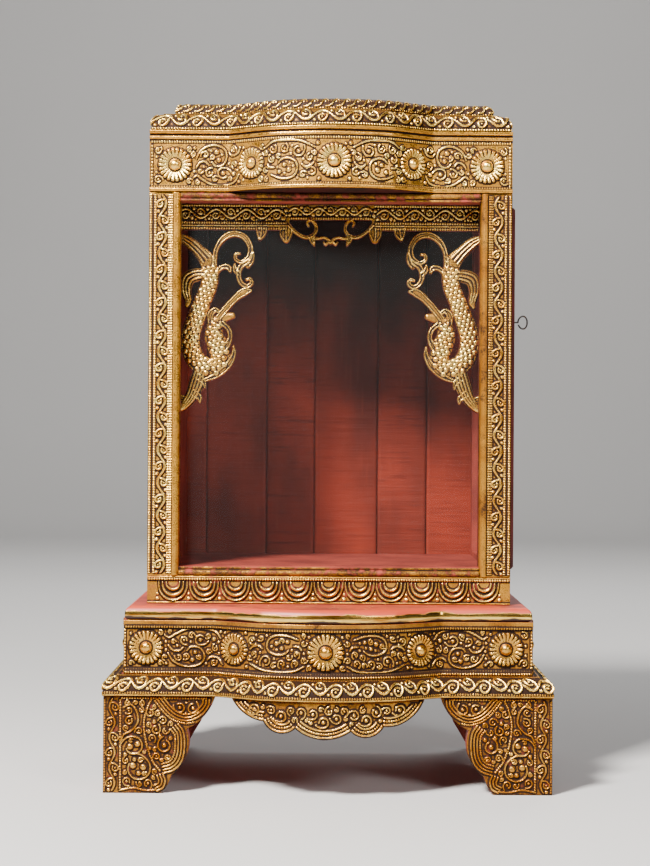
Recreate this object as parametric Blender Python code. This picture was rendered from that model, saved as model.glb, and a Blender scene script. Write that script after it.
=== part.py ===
"""Temple shrine: a glazed wooden cabinet on a footed base, carved, lacquered and gilded.

Metres, +Z up. The front faces -Y, +X is to the right of someone facing the front, and the
origin is on the floor under the middle of the base.
"""
import math

import bmesh
import bpy
import numpy as np
from mathutils import Matrix, Vector
from mathutils.geometry import delaunay_2d_cdt

MM = 0.001

# Clearance left between pieces that touch
GAP = 0.3 * MM

# Heights of the pieces, from the floor up
FOOT_H = 95.0 * MM
TIER_H = 19.5 * MM
PLINTH_H = 53.5 * MM
LEDGE_T = 14.0 * MM
LOTUS_RAIL_H = 27.5 * MM
SILL_H = 9.5 * MM
OPENING_H = 365.0 * MM
HEAD_H = 9.0 * MM
FRIEZE_H = 62.0 * MM
CORNICE_T = 18.0 * MM
CAP_T = 11.5 * MM

# Cabinet: widths, depths and thicknesses
CABINET_W = 363.0 * MM
STILE_W = 31.0 * MM
CABINET_D = 237.3 * MM
FRAME_T = 20.0 * MM
WALL_T = 20.0 * MM
WALL_SETBACK = 3.5 * MM
BACK_T = 12.0 * MM
FLOOR_T = 12.0 * MM
CEILING_T = 10.0 * MM
CEILING_ABOVE_OPENING = 16.0 * MM
GLASS_T = 2.0 * MM
GLASS_LAP = 5.0 * MM
GLAZING_STRIP = 5.0 * MM
CARVING_T = 8.0 * MM

# How far each part of the base stands out from the cabinet: in front, at the sides, behind
TIER_OUT = (50.0 * MM, 38.5 * MM, 12.7 * MM)
PLINTH_OUT = (30.0 * MM, 20.0 * MM, 6.0 * MM)
LEDGE_OUT = (33.0 * MM, 19.0 * MM, 8.0 * MM)
FOOT_SETBACK = 4.0 * MM
BOARD_T = 20.0 * MM
CORNICE_SETBACK = 2.0 * MM
CAP_SIDE_STEP = 20.0 * MM
CAP_FRONT_STEP = 13.5 * MM
CAP_BACK_STEP = 16.0 * MM
CAP_OFF_CENTRE = 3.0 * MM

# The serpentine front: a bow in the middle that runs out into flat ends
BOW = 40.0 * MM
BOW_HALF_TOP = 102.0 * MM
BOW_HALF_BASE = 111.0 * MM
BOW_SHOULDER = 0.6
BOW_SHOULDER_RISE = 0.7
BOW_STEPS = 3

# Door on the right side, its surround and fittings
POST_W = 22.0 * MM
DOORWAY_Z = (5.0 * MM, 356.0 * MM)
DOOR_LAP = 8.0 * MM
DOOR_T = 9.5 * MM
HINGE_STRIP_GAP = 1.0 * MM
HINGE_R = 2.0 * MM
HINGE_LEAF = (12.0 * MM, 1.0 * MM, 24.0 * MM)
HINGE_FROM_END = 60.0 * MM
RING_WIRE = 1.6 * MM
RING_SIZE = (11.0 * MM, 14.5 * MM)
RING_HEIGHT = 467.0 * MM
RING_FROM_EDGE = 9.0 * MM

# Back boards: the joints, as distances from the middle
BACK_JOINTS = (-136.0 * MM, -69.5 * MM, -16.0 * MM, 54.0 * MM, 108.5 * MM)

# Relief: rosettes, vines, lotus petals
ROSETTE_R = 17.5 * MM
ROSETTE_SMALL_R = 15.5 * MM
ROSETTE_MID_R = 18.5 * MM
ROSETTE_FLUTES = 12
ROSETTE_H = 3.2 * MM
BOSS_R = 5.0 * MM
BOSS_H = 5.0 * MM
VINE_W = 3.4 * MM
VINE_H = 1.8 * MM
STILE_VINE_IN = 13.8 * MM
PETALS = 11
PETAL_PITCH = 31.1 * MM

# Heights of the joints between pieces
Z_TIER = FOOT_H
Z_PLINTH = Z_TIER + TIER_H
Z_LEDGE = Z_PLINTH + PLINTH_H
Z_CABINET = Z_LEDGE + LEDGE_T
Z_SILL = Z_CABINET + LOTUS_RAIL_H
Z_OPENING = Z_SILL + SILL_H
Z_HEAD = Z_OPENING + OPENING_H
Z_FRIEZE = Z_HEAD + HEAD_H
Z_CORNICE = Z_FRIEZE + FRIEZE_H
Z_CAP = Z_CORNICE + CORNICE_T
Z_CEILING = Z_HEAD + CEILING_ABOVE_OPENING

# Planes across the depth; the base is centred on the origin
DEPTH = TIER_OUT[0] + BOW + CABINET_D + TIER_OUT[2]
Y_FRAME = TIER_OUT[0] + BOW - DEPTH / 2
Y_INSIDE = Y_FRAME + FRAME_T
Y_BACK = Y_FRAME + CABINET_D
Y_BOARDS = Y_BACK - BACK_T
Y_GLASS = Y_INSIDE + GAP
Y_STRIP = Y_GLASS + GLASS_T + GAP
Y_FLOOR = Y_STRIP + GLAZING_STRIP + GAP
Y_CARVING = Y_FLOOR

# Planes across the width
X_FRAME = CABINET_W / 2
X_OPENING = X_FRAME - STILE_W
X_WALL_OUT = X_FRAME - WALL_SETBACK
X_WALL_IN = X_WALL_OUT - WALL_T


def start_scene():
    """Empties the scene and makes the collection of the object."""
    for old in list(bpy.data.objects):
        bpy.data.objects.remove(old, do_unlink=True)
    home = bpy.data.collections.new("temple_shrine")
    bpy.context.scene.collection.children.link(home)
    return home


HOME = start_scene()


def make_material(name, colour, roughness, metallic=0.0, alpha=1.0):
    """A plain Principled finish."""
    material = bpy.data.materials.new(name)
    material.use_nodes = True
    shader = material.node_tree.nodes["Principled BSDF"]
    shader.inputs["Base Color"].default_value = (*colour, 1.0)
    shader.inputs["Roughness"].default_value = roughness
    shader.inputs["Metallic"].default_value = metallic
    shader.inputs["Alpha"].default_value = alpha
    return material


GOLD = make_material("gold_leaf", (0.62, 0.40, 0.10), 0.38, 0.9)
WORN_GOLD = make_material("worn_gold", (0.30, 0.19, 0.06), 0.45, 0.6)
RED = make_material("red_lacquer", (0.45, 0.09, 0.06), 0.55)
DARK_RED = make_material("dark_red_lacquer", (0.20, 0.03, 0.025), 0.6)
IRON = make_material("iron_wire", (0.08, 0.07, 0.06), 0.6, 0.8)
CLEAR = make_material("clear_glass", (0.95, 0.97, 0.96), 0.05, 0.0, 0.2)


def finish_mesh(name, bm, material, smooth_angle=35):
    """Turns a bmesh into the named object, faces out and with crisp edges kept."""
    bmesh.ops.triangulate(bm, faces=[f for f in bm.faces if len(f.verts) > 4])
    bmesh.ops.recalc_face_normals(bm, faces=bm.faces)
    mesh = bpy.data.meshes.new(name)
    bm.to_mesh(mesh)
    bm.free()
    mesh.shade_smooth()
    mesh.set_sharp_from_angle(angle=math.radians(smooth_angle))
    mesh.materials.append(material)
    piece = bpy.data.objects.new(name, mesh)
    HOME.objects.link(piece)
    return piece


def box(name, low, high, material):
    """A plain board between two corners."""
    bm = bmesh.new()
    size = Vector(high) - Vector(low)
    middle = (Vector(high) + Vector(low)) / 2
    bmesh.ops.create_cube(bm, size=1.0, matrix=Matrix.Translation(middle) @ Matrix.Diagonal((*size, 1.0)))
    return finish_mesh(name, bm, material)


def arc(start, end, bulge, count):
    """Points from start to just before end on an arc that stands bulge to the right of the chord."""
    start, end = Vector(start), Vector(end)
    chord = end - start
    if abs(bulge) < 1e-6:
        return [tuple(start)]
    side = Vector((chord.y, -chord.x)).normalized()
    half = chord.length / 2
    radius = (half * half + bulge * bulge) / (2 * bulge)
    centre = (start + end) / 2 + side * (bulge - radius)
    angle = math.atan2(start.y - centre.y, start.x - centre.x)
    sweep = 2 * math.atan2(half, radius - bulge)
    return [(centre.x + abs(radius) * math.cos(angle + sweep * k / count),
             centre.y + abs(radius) * math.sin(angle + sweep * k / count)) for k in range(count)]


def spiral(centre, radius, inner, start_deg, sweep_deg, count, width=VINE_W):
    """A scroll that winds in from radius to inner; rows of x, z and width."""
    rows = []
    for k in range(count + 1):
        t = k / count
        angle = math.radians(start_deg + sweep_deg * t)
        r = radius + (inner - radius) * t
        taper = width * (1.0 - 0.35 * t)
        rows.append((centre[0] + r * math.cos(angle), centre[1] + r * math.sin(angle), taper))
    return np.array(rows)


def wave(start, end, amplitude, period, per, width=VINE_W, across=0.0, upright=False):
    """A running wave between two places on its axis; rows of x, z and width."""
    count = max(2, round((end - start) / period * per))
    rows = []
    for k in range(count + 1):
        along = start + (end - start) * k / count
        off = across + amplitude * math.sin(2 * math.pi * (along - start) / period)
        rows.append((off, along, width) if upright else (along, off, width))
    return np.array(rows)


class Ridge:
    """A raised line of relief with a crest, given by rows of place, place and width."""

    def __init__(self, rows, height):
        self.rows = np.asarray(rows, dtype=float)
        self.height = height
        line = self.rows[:, :2]
        along = np.gradient(line, axis=0)
        along /= np.maximum(np.linalg.norm(along, axis=1, keepdims=True), 1e-9)
        normal = np.column_stack([-along[:, 1], along[:, 0]])
        half = self.rows[:, 2:3] / 2
        self.left = line + normal * half
        self.right = line - normal * half

    def lines(self):
        outline = np.vstack([self.left, self.right[::-1], self.left[:1]])
        return [outline, self.rows[:, :2]]

    def rise(self, places):
        """Height of the ridge above its ground at each place."""
        best = np.zeros(len(places))
        line = self.rows[:, :2]
        half = self.rows[:, 2] / 2
        for k in range(len(line) - 1):
            a, b = line[k], line[k + 1]
            span = b - a
            t = np.clip(((places - a) @ span) / max(span @ span, 1e-12), 0, 1)
            gap = np.linalg.norm(places - (a + t[:, None] * span), axis=1)
            reach = half[k] + (half[k + 1] - half[k]) * t
            best = np.maximum(best, self.height * np.clip(1 - gap / reach, 0, 1))
        return best

    def covers(self, place):
        """Whether a place is inside the outline of the ridge."""
        for k in range(len(self.left) - 1):
            corners = (self.left[k], self.left[k + 1], self.right[k + 1], self.right[k])
            signs = []
            for j in range(4):
                edge = corners[(j + 1) % 4] - corners[j]
                to = place - corners[j]
                signs.append(edge[0] * to[1] - edge[1] * to[0])
            if all(s <= 1e-12 for s in signs) or all(s >= -1e-12 for s in signs):
                return True
        return False


class Rosette:
    """A round flower of flutes about a domed boss."""

    def __init__(self, centre, radius):
        self.centre = np.array(centre)
        self.radius = radius

    def circle(self, radius, count):
        turn = 2 * math.pi * np.arange(count + 1) / count
        return self.centre + radius * np.column_stack([np.cos(turn), np.sin(turn)])

    def lines(self):
        crown = self.circle(self.radius * 0.84, 2 * ROSETTE_FLUTES)
        inner = self.circle(BOSS_R * 1.25, ROSETTE_FLUTES)
        spokes = [np.array([crown[(2 * k) % len(crown)], inner[k]]) for k in range(ROSETTE_FLUTES)]
        return [self.circle(self.radius, ROSETTE_FLUTES), crown, inner, self.circle(BOSS_R * 0.6, 6)] + spokes

    def rise(self, places):
        off = places - self.centre
        r = np.hypot(off[:, 0], off[:, 1])
        flute = 0.5 + 0.5 * np.cos(np.arctan2(off[:, 1], off[:, 0]) * ROSETTE_FLUTES)
        crown = self.radius * 0.84
        fade = np.clip((r - BOSS_R) / (crown - BOSS_R), 0, 1)
        petal = ROSETTE_H * (0.35 + 0.2 * fade + 0.45 * fade * flute)
        petal = petal * np.clip((self.radius - r) / (self.radius - crown), 0, 1)
        boss = BOSS_H * np.sqrt(np.clip(1 - (r / (BOSS_R * 1.25)) ** 2, 0, 1))
        return np.where(r > self.radius, 0.0, np.maximum(petal, boss))


class Petal:
    """A lotus petal that hangs down: a U-shaped rim round a raised lobe."""

    def __init__(self, middle, top, width, length):
        rim = [(middle + width / 2 * math.cos(a), top - length * math.sin(a), 3.2 * MM)
               for a in np.linspace(0.12, math.pi - 0.12, 6)]
        lobe = [(middle - width * 0.17, top - length * 0.3, 7.0 * MM),
                (middle + width * 0.17, top - length * 0.3, 7.0 * MM)]
        self.parts = [Ridge(rim, 2.4 * MM), Ridge(lobe, 1.8 * MM)]

    def lines(self):
        return [line for part in self.parts for line in part.lines()]

    def rise(self, places):
        return np.max([part.rise(places) for part in self.parts], axis=0)


class Sheet:
    """Points and fixed lines of a flat drawing that is cut into triangles."""

    def __init__(self):
        self.points = []
        self.edges = []

    def add(self, line):
        first = len(self.points)
        self.points.extend(Vector((float(p[0]), float(p[1]))) for p in line)
        self.edges.extend((first + k, first + k + 1) for k in range(len(line) - 1))

    def cut(self):
        found = delaunay_2d_cdt(self.points, self.edges, [], 0, 2e-5, False)
        return np.array([tuple(p) for p in found[0]]), [tuple(f) for f in found[2]]


def total_rise(places, motifs):
    rise = np.zeros(len(places))
    for motif in motifs:
        rise = np.maximum(rise, motif.rise(places))
    return rise


def bow_at(x, half):
    """How far the serpentine front stands out at x: flat ends, an oblique step, a curved middle."""
    x = abs(x)
    shoulder = half * BOW_SHOULDER
    if x >= half:
        return 0.0
    if x >= shoulder:
        return BOW * BOW_SHOULDER_RISE * (half - x) / (half - shoulder)
    return BOW * (1 - (1 - BOW_SHOULDER_RISE) * (x / shoulder) ** 2)


def bow_marks(half):
    """Places along x where the serpentine front is drawn."""
    shoulder = half * BOW_SHOULDER
    right = [half] + [shoulder * k / BOW_STEPS for k in range(BOW_STEPS, 0, -1)]
    return [-x for x in right] + [0.0] + right[::-1]


class Route:
    """A line in plan walked with the outside on its right, measured from its middle."""

    def __init__(self, points, turned_sides):
        self.points = [Vector(p) for p in points]
        steps = [(b - a).length for a, b in zip(self.points, self.points[1:])]
        self.marks = np.concatenate([[0.0], np.cumsum(steps)]) - sum(steps) / 2
        normals = []
        for a, b in zip(self.points, self.points[1:]):
            d = (b - a).normalized()
            normals.append(Vector((d.y, -d.x)))
        self.outs = [normals[0]]
        for n1, n2 in zip(normals, normals[1:]):
            self.outs.append((n1 + n2) / (1 + n1.dot(n2)))
        self.outs.append(normals[-1])
        if not turned_sides:
            ends = (0, 1, len(self.outs) - 2, len(self.outs) - 1)
            for k in ends:
                self.outs[k] = Vector((0.0, self.outs[k].y if 0 < k < len(self.outs) - 1 else 0.0))

    def at(self, u):
        k = int(np.clip(np.searchsorted(self.marks, u + 1e-9) - 1, 0, len(self.points) - 2))
        t = (u - self.marks[k]) / (self.marks[k + 1] - self.marks[k])
        return self.points[k].lerp(self.points[k + 1], t), self.outs[k].lerp(self.outs[k + 1], t)

    def along(self, x):
        """Distance along the route, on its front, of a place at x."""
        front = [(p.x, m) for p, m in zip(self.points[1:-1], self.marks[1:-1])]
        return float(np.interp(x, [p[0] for p in front], [p[1] for p in front]))


def front_route(half, y_front, y_back, bow_half, turned_sides):
    """Round three sides of a board: back left, along the front, back right."""
    points = [(-half, y_back), (-half, y_front)]
    if bow_half:
        points += [(x, y_front - bow_at(x, bow_half)) for x in bow_marks(bow_half)]
    points += [(half, y_front), (half, y_back)]
    return Route(points, turned_sides)


def sweep_board(name, route, profile, material, motifs=(), columns=(), relief=None, place=None):
    """A board whose profile runs round a route, with relief on its face.

    profile has rows of height and distance out; relief gives a distance out along the route.
    """
    z_marks = np.array([p[0] for p in profile])
    o_marks = np.array([p[1] for p in profile])
    steps = np.hypot(np.diff(z_marks), np.diff(o_marks))
    v_marks = np.concatenate([[0.0], np.cumsum(steps)])
    sheet = Sheet()
    u_low, u_high = route.marks[0], route.marks[-1]
    for u in list(route.marks) + list(columns):
        sheet.add([(u, 0.0), (u, v_marks[-1])])
    for v in v_marks:
        sheet.add([(u_low, v), (u_high, v)])
    for motif in motifs:
        for line in motif.lines():
            sheet.add(line)
    places, faces = sheet.cut()
    rise = total_rise(places, motifs)
    bm = bmesh.new()
    verts = []
    for (u, v), up in zip(places, rise):
        j = int(np.clip(np.searchsorted(v_marks, v + 1e-7) - 1, 0, len(v_marks) - 2))
        t = (v - v_marks[j]) / (v_marks[j + 1] - v_marks[j])
        z = z_marks[j] + (z_marks[j + 1] - z_marks[j]) * t
        o = o_marks[j] + (o_marks[j + 1] - o_marks[j]) * t
        if relief is not None:
            o += float(np.interp(u, relief[0], relief[1]))
        z -= up * (o_marks[j + 1] - o_marks[j]) / steps[j]
        o += up * (z_marks[j + 1] - z_marks[j]) / steps[j]
        point, out = route.at(u)
        spot = point + out * o
        verts.append(bm.verts.new((spot.x, spot.y, z)))
    for face in faces:
        bm.faces.new([verts[k] for k in face])
    edge = 2e-5
    index = range(len(places))
    top = sorted((k for k in index if places[k][1] > v_marks[-1] - edge), key=lambda k: places[k][0])
    bottom = sorted((k for k in index if places[k][1] < edge), key=lambda k: places[k][0])
    left = sorted((k for k in index if places[k][0] < u_low + edge), key=lambda k: places[k][1])
    right = sorted((k for k in index if places[k][0] > u_high - edge), key=lambda k: places[k][1])
    bm.faces.new([verts[k] for k in top])
    bm.faces.new([verts[k] for k in reversed(bottom)])
    bm.faces.new([verts[k] for k in reversed(right)] + [verts[k] for k in left])
    if place is not None:
        bmesh.ops.transform(bm, matrix=place, verts=bm.verts)
    return finish_mesh(name, bm, material)


def inside_loops(place, starts, ends):
    """Whether a place lies inside closed loops given as edges, by counting crossings."""
    above = (starts[:, 1] > place[1]) != (ends[:, 1] > place[1])
    s, e = starts[above], ends[above]
    cross = s[:, 0] + (place[1] - s[:, 1]) * (e[:, 0] - s[:, 0]) / (e[:, 1] - s[:, 1])
    return int(np.count_nonzero(cross > place[0])) % 2 == 1


def carve_plate(name, outlines, strokes, motifs, front, back, material, columns=(), place=None):
    """A fretted plate: the union of outlines and strokes, with relief on its front.

    front and back give y at x; strokes add their dome, and motifs their relief, to the front.
    """
    sheet = Sheet()
    loops = [np.array(line) for line in outlines]
    for loop in loops:
        sheet.add(np.vstack([loop, loop[:1]]))
    for item in list(strokes) + list(motifs):
        for line in item.lines():
            sheet.add(line)
    if loops:
        z_low = min(loop[:, 1].min() for loop in loops)
        z_high = max(loop[:, 1].max() for loop in loops)
        for x in columns:
            sheet.add([(x, z_low), (x, z_high)])
    places, faces = sheet.cut()
    loop_edges = [(loop, np.roll(loop, -1, axis=0)) for loop in loops]
    kept = []
    for face in faces:
        middle = places[list(face)].mean(axis=0)
        if any(inside_loops(middle, s, e) for s, e in loop_edges) or any(s.covers(middle) for s in strokes):
            kept.append(face)
    rise = total_rise(places, list(strokes) + list(motifs))
    used = sorted({k for face in kept for k in face})
    bm = bmesh.new()
    fore = {k: bm.verts.new((places[k][0], front(places[k][0]) - rise[k], places[k][1])) for k in used}
    sides = {}
    for face in kept:
        bm.faces.new([fore[k] for k in face])
        for a, b in zip(face, face[1:] + face[:1]):
            if (b, a) in sides:
                del sides[(b, a)]
            else:
                sides[(a, b)] = True
    rim = sorted({k for pair in sides for k in pair})
    aft = {k: bm.verts.new((places[k][0], back(places[k][0]), places[k][1])) for k in rim}
    order = {k: n for n, k in enumerate(rim)}
    lines = [(order[a], order[b]) for a, b in sides]
    for x in columns:
        on = sorted((k for k in rim if abs(places[k][0] - x) < 1e-6), key=lambda k: places[k][1])
        lines += [(order[a], order[b]) for a, b in zip(on, on[1:])]
    flat = delaunay_2d_cdt([Vector(places[k]) for k in rim], lines, [], 0, 1e-7, False)
    if len(flat[0]) != len(rim):
        raise RuntimeError(name + ": the outline crosses itself")
    starts = np.array([places[a] for a, b in sides])
    ends = np.array([places[b] for a, b in sides])
    for face in flat[2]:
        middle = np.mean([tuple(flat[0][k]) for k in face], axis=0)
        if inside_loops(middle, starts, ends):
            bm.faces.new([aft[rim[k]] for k in reversed(face)])
    for a, b in sides:
        bm.faces.new((fore[b], fore[a], aft[a], aft[b]))
    if place is not None:
        bmesh.ops.transform(bm, matrix=place, verts=bm.verts)
    return finish_mesh(name, bm, material)


def ovolo(fillet, rise, run, steps):
    """A moulding profile: a low fillet, then a quarter round that draws in towards the top."""
    rows = [(0.0, 0.0), (fillet, 0.0)]
    for k in range(1, steps + 1):
        angle = math.pi / 2 * k / steps
        rows.append((fillet + rise * math.sin(angle), -run * (1 - math.cos(angle))))
    return rows


def lifted(profile, z, height):
    """A profile moved up to z, with its top brought to the height of its piece."""
    low, high = z + GAP, z + height - GAP
    scale = (high - low) / profile[-1][0]
    return [(low + row[0] * scale, row[1]) for row in profile]


def scroll_pair(first, second, turns, count):
    """An S: a scroll that unwinds from its eye at the first centre and winds in at the second."""
    first, second = np.array(first), np.array(second)
    across = second - first
    heading = math.degrees(math.atan2(across[1], across[0]))
    radius = math.hypot(*across) / 2
    out = spiral(first, radius, radius * 0.34, heading, turns, count)
    back = spiral(second, radius, radius * 0.34, heading + 180.0, turns, count)
    return np.vstack([out[::-1], back[1:]])


def vine_pair(middle, floor, height, reach, flip):
    """Linked scrolls that fill the ground between two rosettes."""
    r = min(height * 0.24, reach * 0.22)
    rise = height * 0.16 * flip
    mid = floor + height / 2
    stem = scroll_pair((middle - r * 0.9, mid + rise), (middle + r * 0.9, mid - rise), 340.0 * flip, 8)
    buds = [spiral((middle + side * r * 1.1, mid + height * 0.33 * side * flip), r * 0.6, r * 0.2,
                   200.0 + 90.0 * side, 280.0 * flip, 5) for side in (-1, 1)]
    return [Ridge(rows, VINE_H) for rows in (stem, *buds)]


def frieze_motifs(route, profile, band, rosettes):
    """Rosettes along a frieze, and vines between them; band is the panel's low and high rows."""
    steps = [math.hypot(b[0] - a[0], b[1] - a[1]) for a, b in zip(profile, profile[1:])]
    low = sum(steps[:band[0]])
    high = sum(steps[:band[1]])
    middle = (low + high) / 2
    motifs = []
    spots = []
    for x, radius in rosettes:
        u = route.along(x)
        spots.append((u, radius))
        motifs.append(Rosette((u, middle), radius))
    for k, ((u1, r1), (u2, r2)) in enumerate(zip(spots, spots[1:])):
        gap = (u2 - r2) - (u1 + r1)
        motifs += vine_pair((u1 + r1 + u2 - r2) / 2, low, high - low, gap, 1 if k % 2 == 0 else -1)
    return motifs


def back_joined(part_out):
    """Y of the back of a part of the base."""
    return Y_BACK + part_out[2]


def turned(angle, x, y):
    """Where a board drawn facing the front stands when it is turned to face another way."""
    return Matrix.Translation((x, y, 0.0)) @ Matrix.Rotation(math.radians(angle), 4, "Z")


def side_and_back_boards(prefix, profile, out, material):
    """The left, right and back boards behind a serpentine front board."""
    half = X_FRAME + out[1]
    y_front = Y_FRAME - out[0] + BOARD_T + GAP
    y_back = back_joined(out)
    length = y_back - y_front
    side_route = front_route(length / 2, 0.0, BOARD_T, None, False)
    middle = (y_front + y_back) / 2
    sweep_board(prefix + "_left", side_route, profile, material, place=turned(-90, -half, middle))
    sweep_board(prefix + "_right", side_route, profile, material, place=turned(90, half, middle))
    back_half = half - BOARD_T - GAP
    box(prefix + "_back", (-back_half, y_back - BOARD_T, profile[0][0]),
        (back_half, y_back, profile[-1][0]), RED)


def build_tier():
    """The lower moulding of the base, an ovolo with a running scroll."""
    profile = lifted(ovolo(4.0 * MM, 15.0 * MM, 16.0 * MM, 3), Z_TIER, TIER_H)
    half = X_FRAME + TIER_OUT[1]
    y_front = Y_FRAME - TIER_OUT[0]
    route = front_route(half, y_front, y_front + BOARD_T, BOW_HALF_BASE, True)
    reach = route.along(half - 14.0 * MM)
    scroll = Ridge(wave(-reach, reach, 3.6 * MM, 38.0 * MM, 4, across=13.0 * MM), VINE_H * 0.8)
    sweep_board("tier_front", route, profile, GOLD, [scroll])
    side_and_back_boards("tier", profile, TIER_OUT, GOLD)


def build_plinth():
    """The upper box of the base, with rosettes and vines on its front."""
    low, high = Z_PLINTH + GAP, Z_LEDGE - GAP
    profile = [(low, 3.0 * MM), (low + 3.5 * MM, 3.0 * MM), (low + 5.0 * MM, 0.0),
               (high - 7.5 * MM, 0.0), (high - 6.0 * MM, 2.5 * MM), (high, 2.5 * MM)]
    half = X_FRAME + PLINTH_OUT[1]
    y_front = Y_FRAME - PLINTH_OUT[0]
    route = front_route(half, y_front, y_front + BOARD_T, BOW_HALF_BASE, False)
    sizes = ((-half + 25.0 * MM, ROSETTE_R), (-92.0 * MM, ROSETTE_SMALL_R), (0.0, ROSETTE_MID_R),
             (92.0 * MM, ROSETTE_SMALL_R), (half - 25.0 * MM, ROSETTE_R))
    motifs = frieze_motifs(route, profile, (2, 3), sizes)
    sweep_board("plinth_front", route, profile, GOLD, motifs)
    side_and_back_boards("plinth", [(low, 0.0), (high, 0.0)], PLINTH_OUT, GOLD)


def build_ledge():
    """The slab that the cabinet stands on, with a rounded nose."""
    half = X_FRAME + LEDGE_OUT[1]
    y_front = Y_FRAME - LEDGE_OUT[0]
    rows = [(0.0, -3.0 * MM), (1.5 * MM, -0.8 * MM), (4.5 * MM, 0.0), (8.5 * MM, -0.6 * MM),
            (11.5 * MM, -2.6 * MM), (13.4 * MM, -6.0 * MM)]
    route = front_route(half, y_front, back_joined(LEDGE_OUT), BOW_HALF_BASE, True)
    sweep_board("ledge", route, lifted(rows, Z_LEDGE, LEDGE_T), RED)


FOOT_TOP = FOOT_H - GAP
FOOT_REACH = 109.5 * MM
FOOT_SOLE = 57.0 * MM
FOOT_CUSPS = ((82.0 * MM, 63.5 * MM), (71.0 * MM, 18.5 * MM))
FOOT_BULGES = (4.5 * MM, 5.5 * MM, 1.2 * MM)
FOOT_T = 20.0 * MM
RETURN_REACH = 70.0 * MM


def foot_outline(reach, sole, cusps, steps):
    """A bracket foot seen from its face: straight outer edge at x = 0, lobed inner edge."""
    stops = [(sole, 0.0), cusps[1], cusps[0], (reach, FOOT_TOP)]
    line = [(0.0, 0.0)]
    for start, end, bulge in zip(stops, stops[1:], reversed(FOOT_BULGES)):
        line += arc(start, end, bulge, steps)
    return line + [(reach, FOOT_TOP), (0.0, FOOT_TOP)]


def inset(line, distance):
    """An open line moved to its left by a distance."""
    pts = np.array(line, dtype=float)
    along = np.gradient(pts, axis=0)
    along /= np.linalg.norm(along, axis=1, keepdims=True)
    return pts + distance * np.column_stack([-along[:, 1], along[:, 0]])


def foot_relief(outline):
    """Rims that follow the lobes, ribs that fan out to the cusps, and a scroll in each lobe."""
    lobes = outline[1:-1]
    rim = inset(lobes, 4.0 * MM)[1:-1]
    motifs = [Ridge(np.column_stack([rim, np.full(len(rim), 2.6 * MM)]), 2.0 * MM)]
    hub = (34.0 * MM, FOOT_TOP - 5.0 * MM)
    ends = ((FOOT_CUSPS[0][0] - 9.0 * MM, FOOT_CUSPS[0][1] + 2.0 * MM),
            (FOOT_CUSPS[1][0] - 12.0 * MM, FOOT_CUSPS[1][1] + 4.0 * MM))
    for x, z in ends:
        motifs.append(Ridge([(hub[0], hub[1], 2.4 * MM), (x, z, 2.4 * MM)], 1.8 * MM))
    motifs.append(Ridge([(15.0 * MM, 4.0 * MM, 2.0 * MM), (15.0 * MM, FOOT_TOP - 4.0 * MM, 2.0 * MM)], 1.5 * MM))
    for x, z, r, start in ((80.0, 81.0, 8.0, 180.0), (62.0, 55.0, 8.5, 100.0), (30.0, 24.0, 10.0, 240.0),
                           (33.0, 52.0, 9.0, 60.0)):
        motifs.append(Ridge(spiral((x * MM, z * MM), r * MM, r * 0.3 * MM, start, -340.0, 8), VINE_H))
    return motifs


def build_feet():
    """Four bracket feet, each a face board and a return board butted behind it."""
    half = X_FRAME + TIER_OUT[1] - GAP
    y_front = Y_FRAME - TIER_OUT[0] + FOOT_SETBACK
    y_back = back_joined(TIER_OUT) - FOOT_SETBACK
    outline = foot_outline(FOOT_REACH, FOOT_SOLE, FOOT_CUSPS, 5)
    plain = foot_outline(FOOT_REACH, FOOT_SOLE, FOOT_CUSPS, 3)
    shrink = RETURN_REACH / FOOT_REACH
    side = [(x * shrink, z) for x, z in plain]
    for end in ("left", "right"):
        hand = -1 if end == "left" else 1
        mirror = Matrix.Diagonal((-hand, 1.0, 1.0, 1.0))
        for row, y, motifs, shape in (("front", y_front, foot_relief(outline), outline),
                                      ("back", y_back, (), plain)):
            spin = Matrix.Identity(4) if row == "front" else Matrix.Diagonal((1.0, -1.0, 1.0, 1.0))
            place = Matrix.Translation((hand * half, y, 0.0)) @ mirror @ spin
            carve_plate("foot_%s_%s" % (row, end), [shape], (), motifs, lambda x: 0.0,
                        lambda x: FOOT_T, GOLD if row == "front" else RED, place=place)
            turn = Matrix.Rotation(math.radians(90), 4, "Z")
            facing = 1.0 if row == "front" else -1.0
            start = y + facing * (FOOT_T + GAP)
            place = (Matrix.Translation((hand * half, start, 0.0)) @ Matrix.Diagonal((hand, facing, 1.0, 1.0))
                     @ turn)
            carve_plate("foot_%s_%s_return" % (row, end), [side], (), (), lambda x: 0.0,
                        lambda x: FOOT_T, RED, place=place)


APRON_CUSPS = ((-93.5, 94.7, 5.0), (-62.5, 75.0, 8.0), (-31.5, 69.0, 9.0), (22.0, 66.5, 8.0),
               (54.0, 70.5, 8.0), (94.0, 94.7, 0.0))
APRON_T = 16.0 * MM


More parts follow.
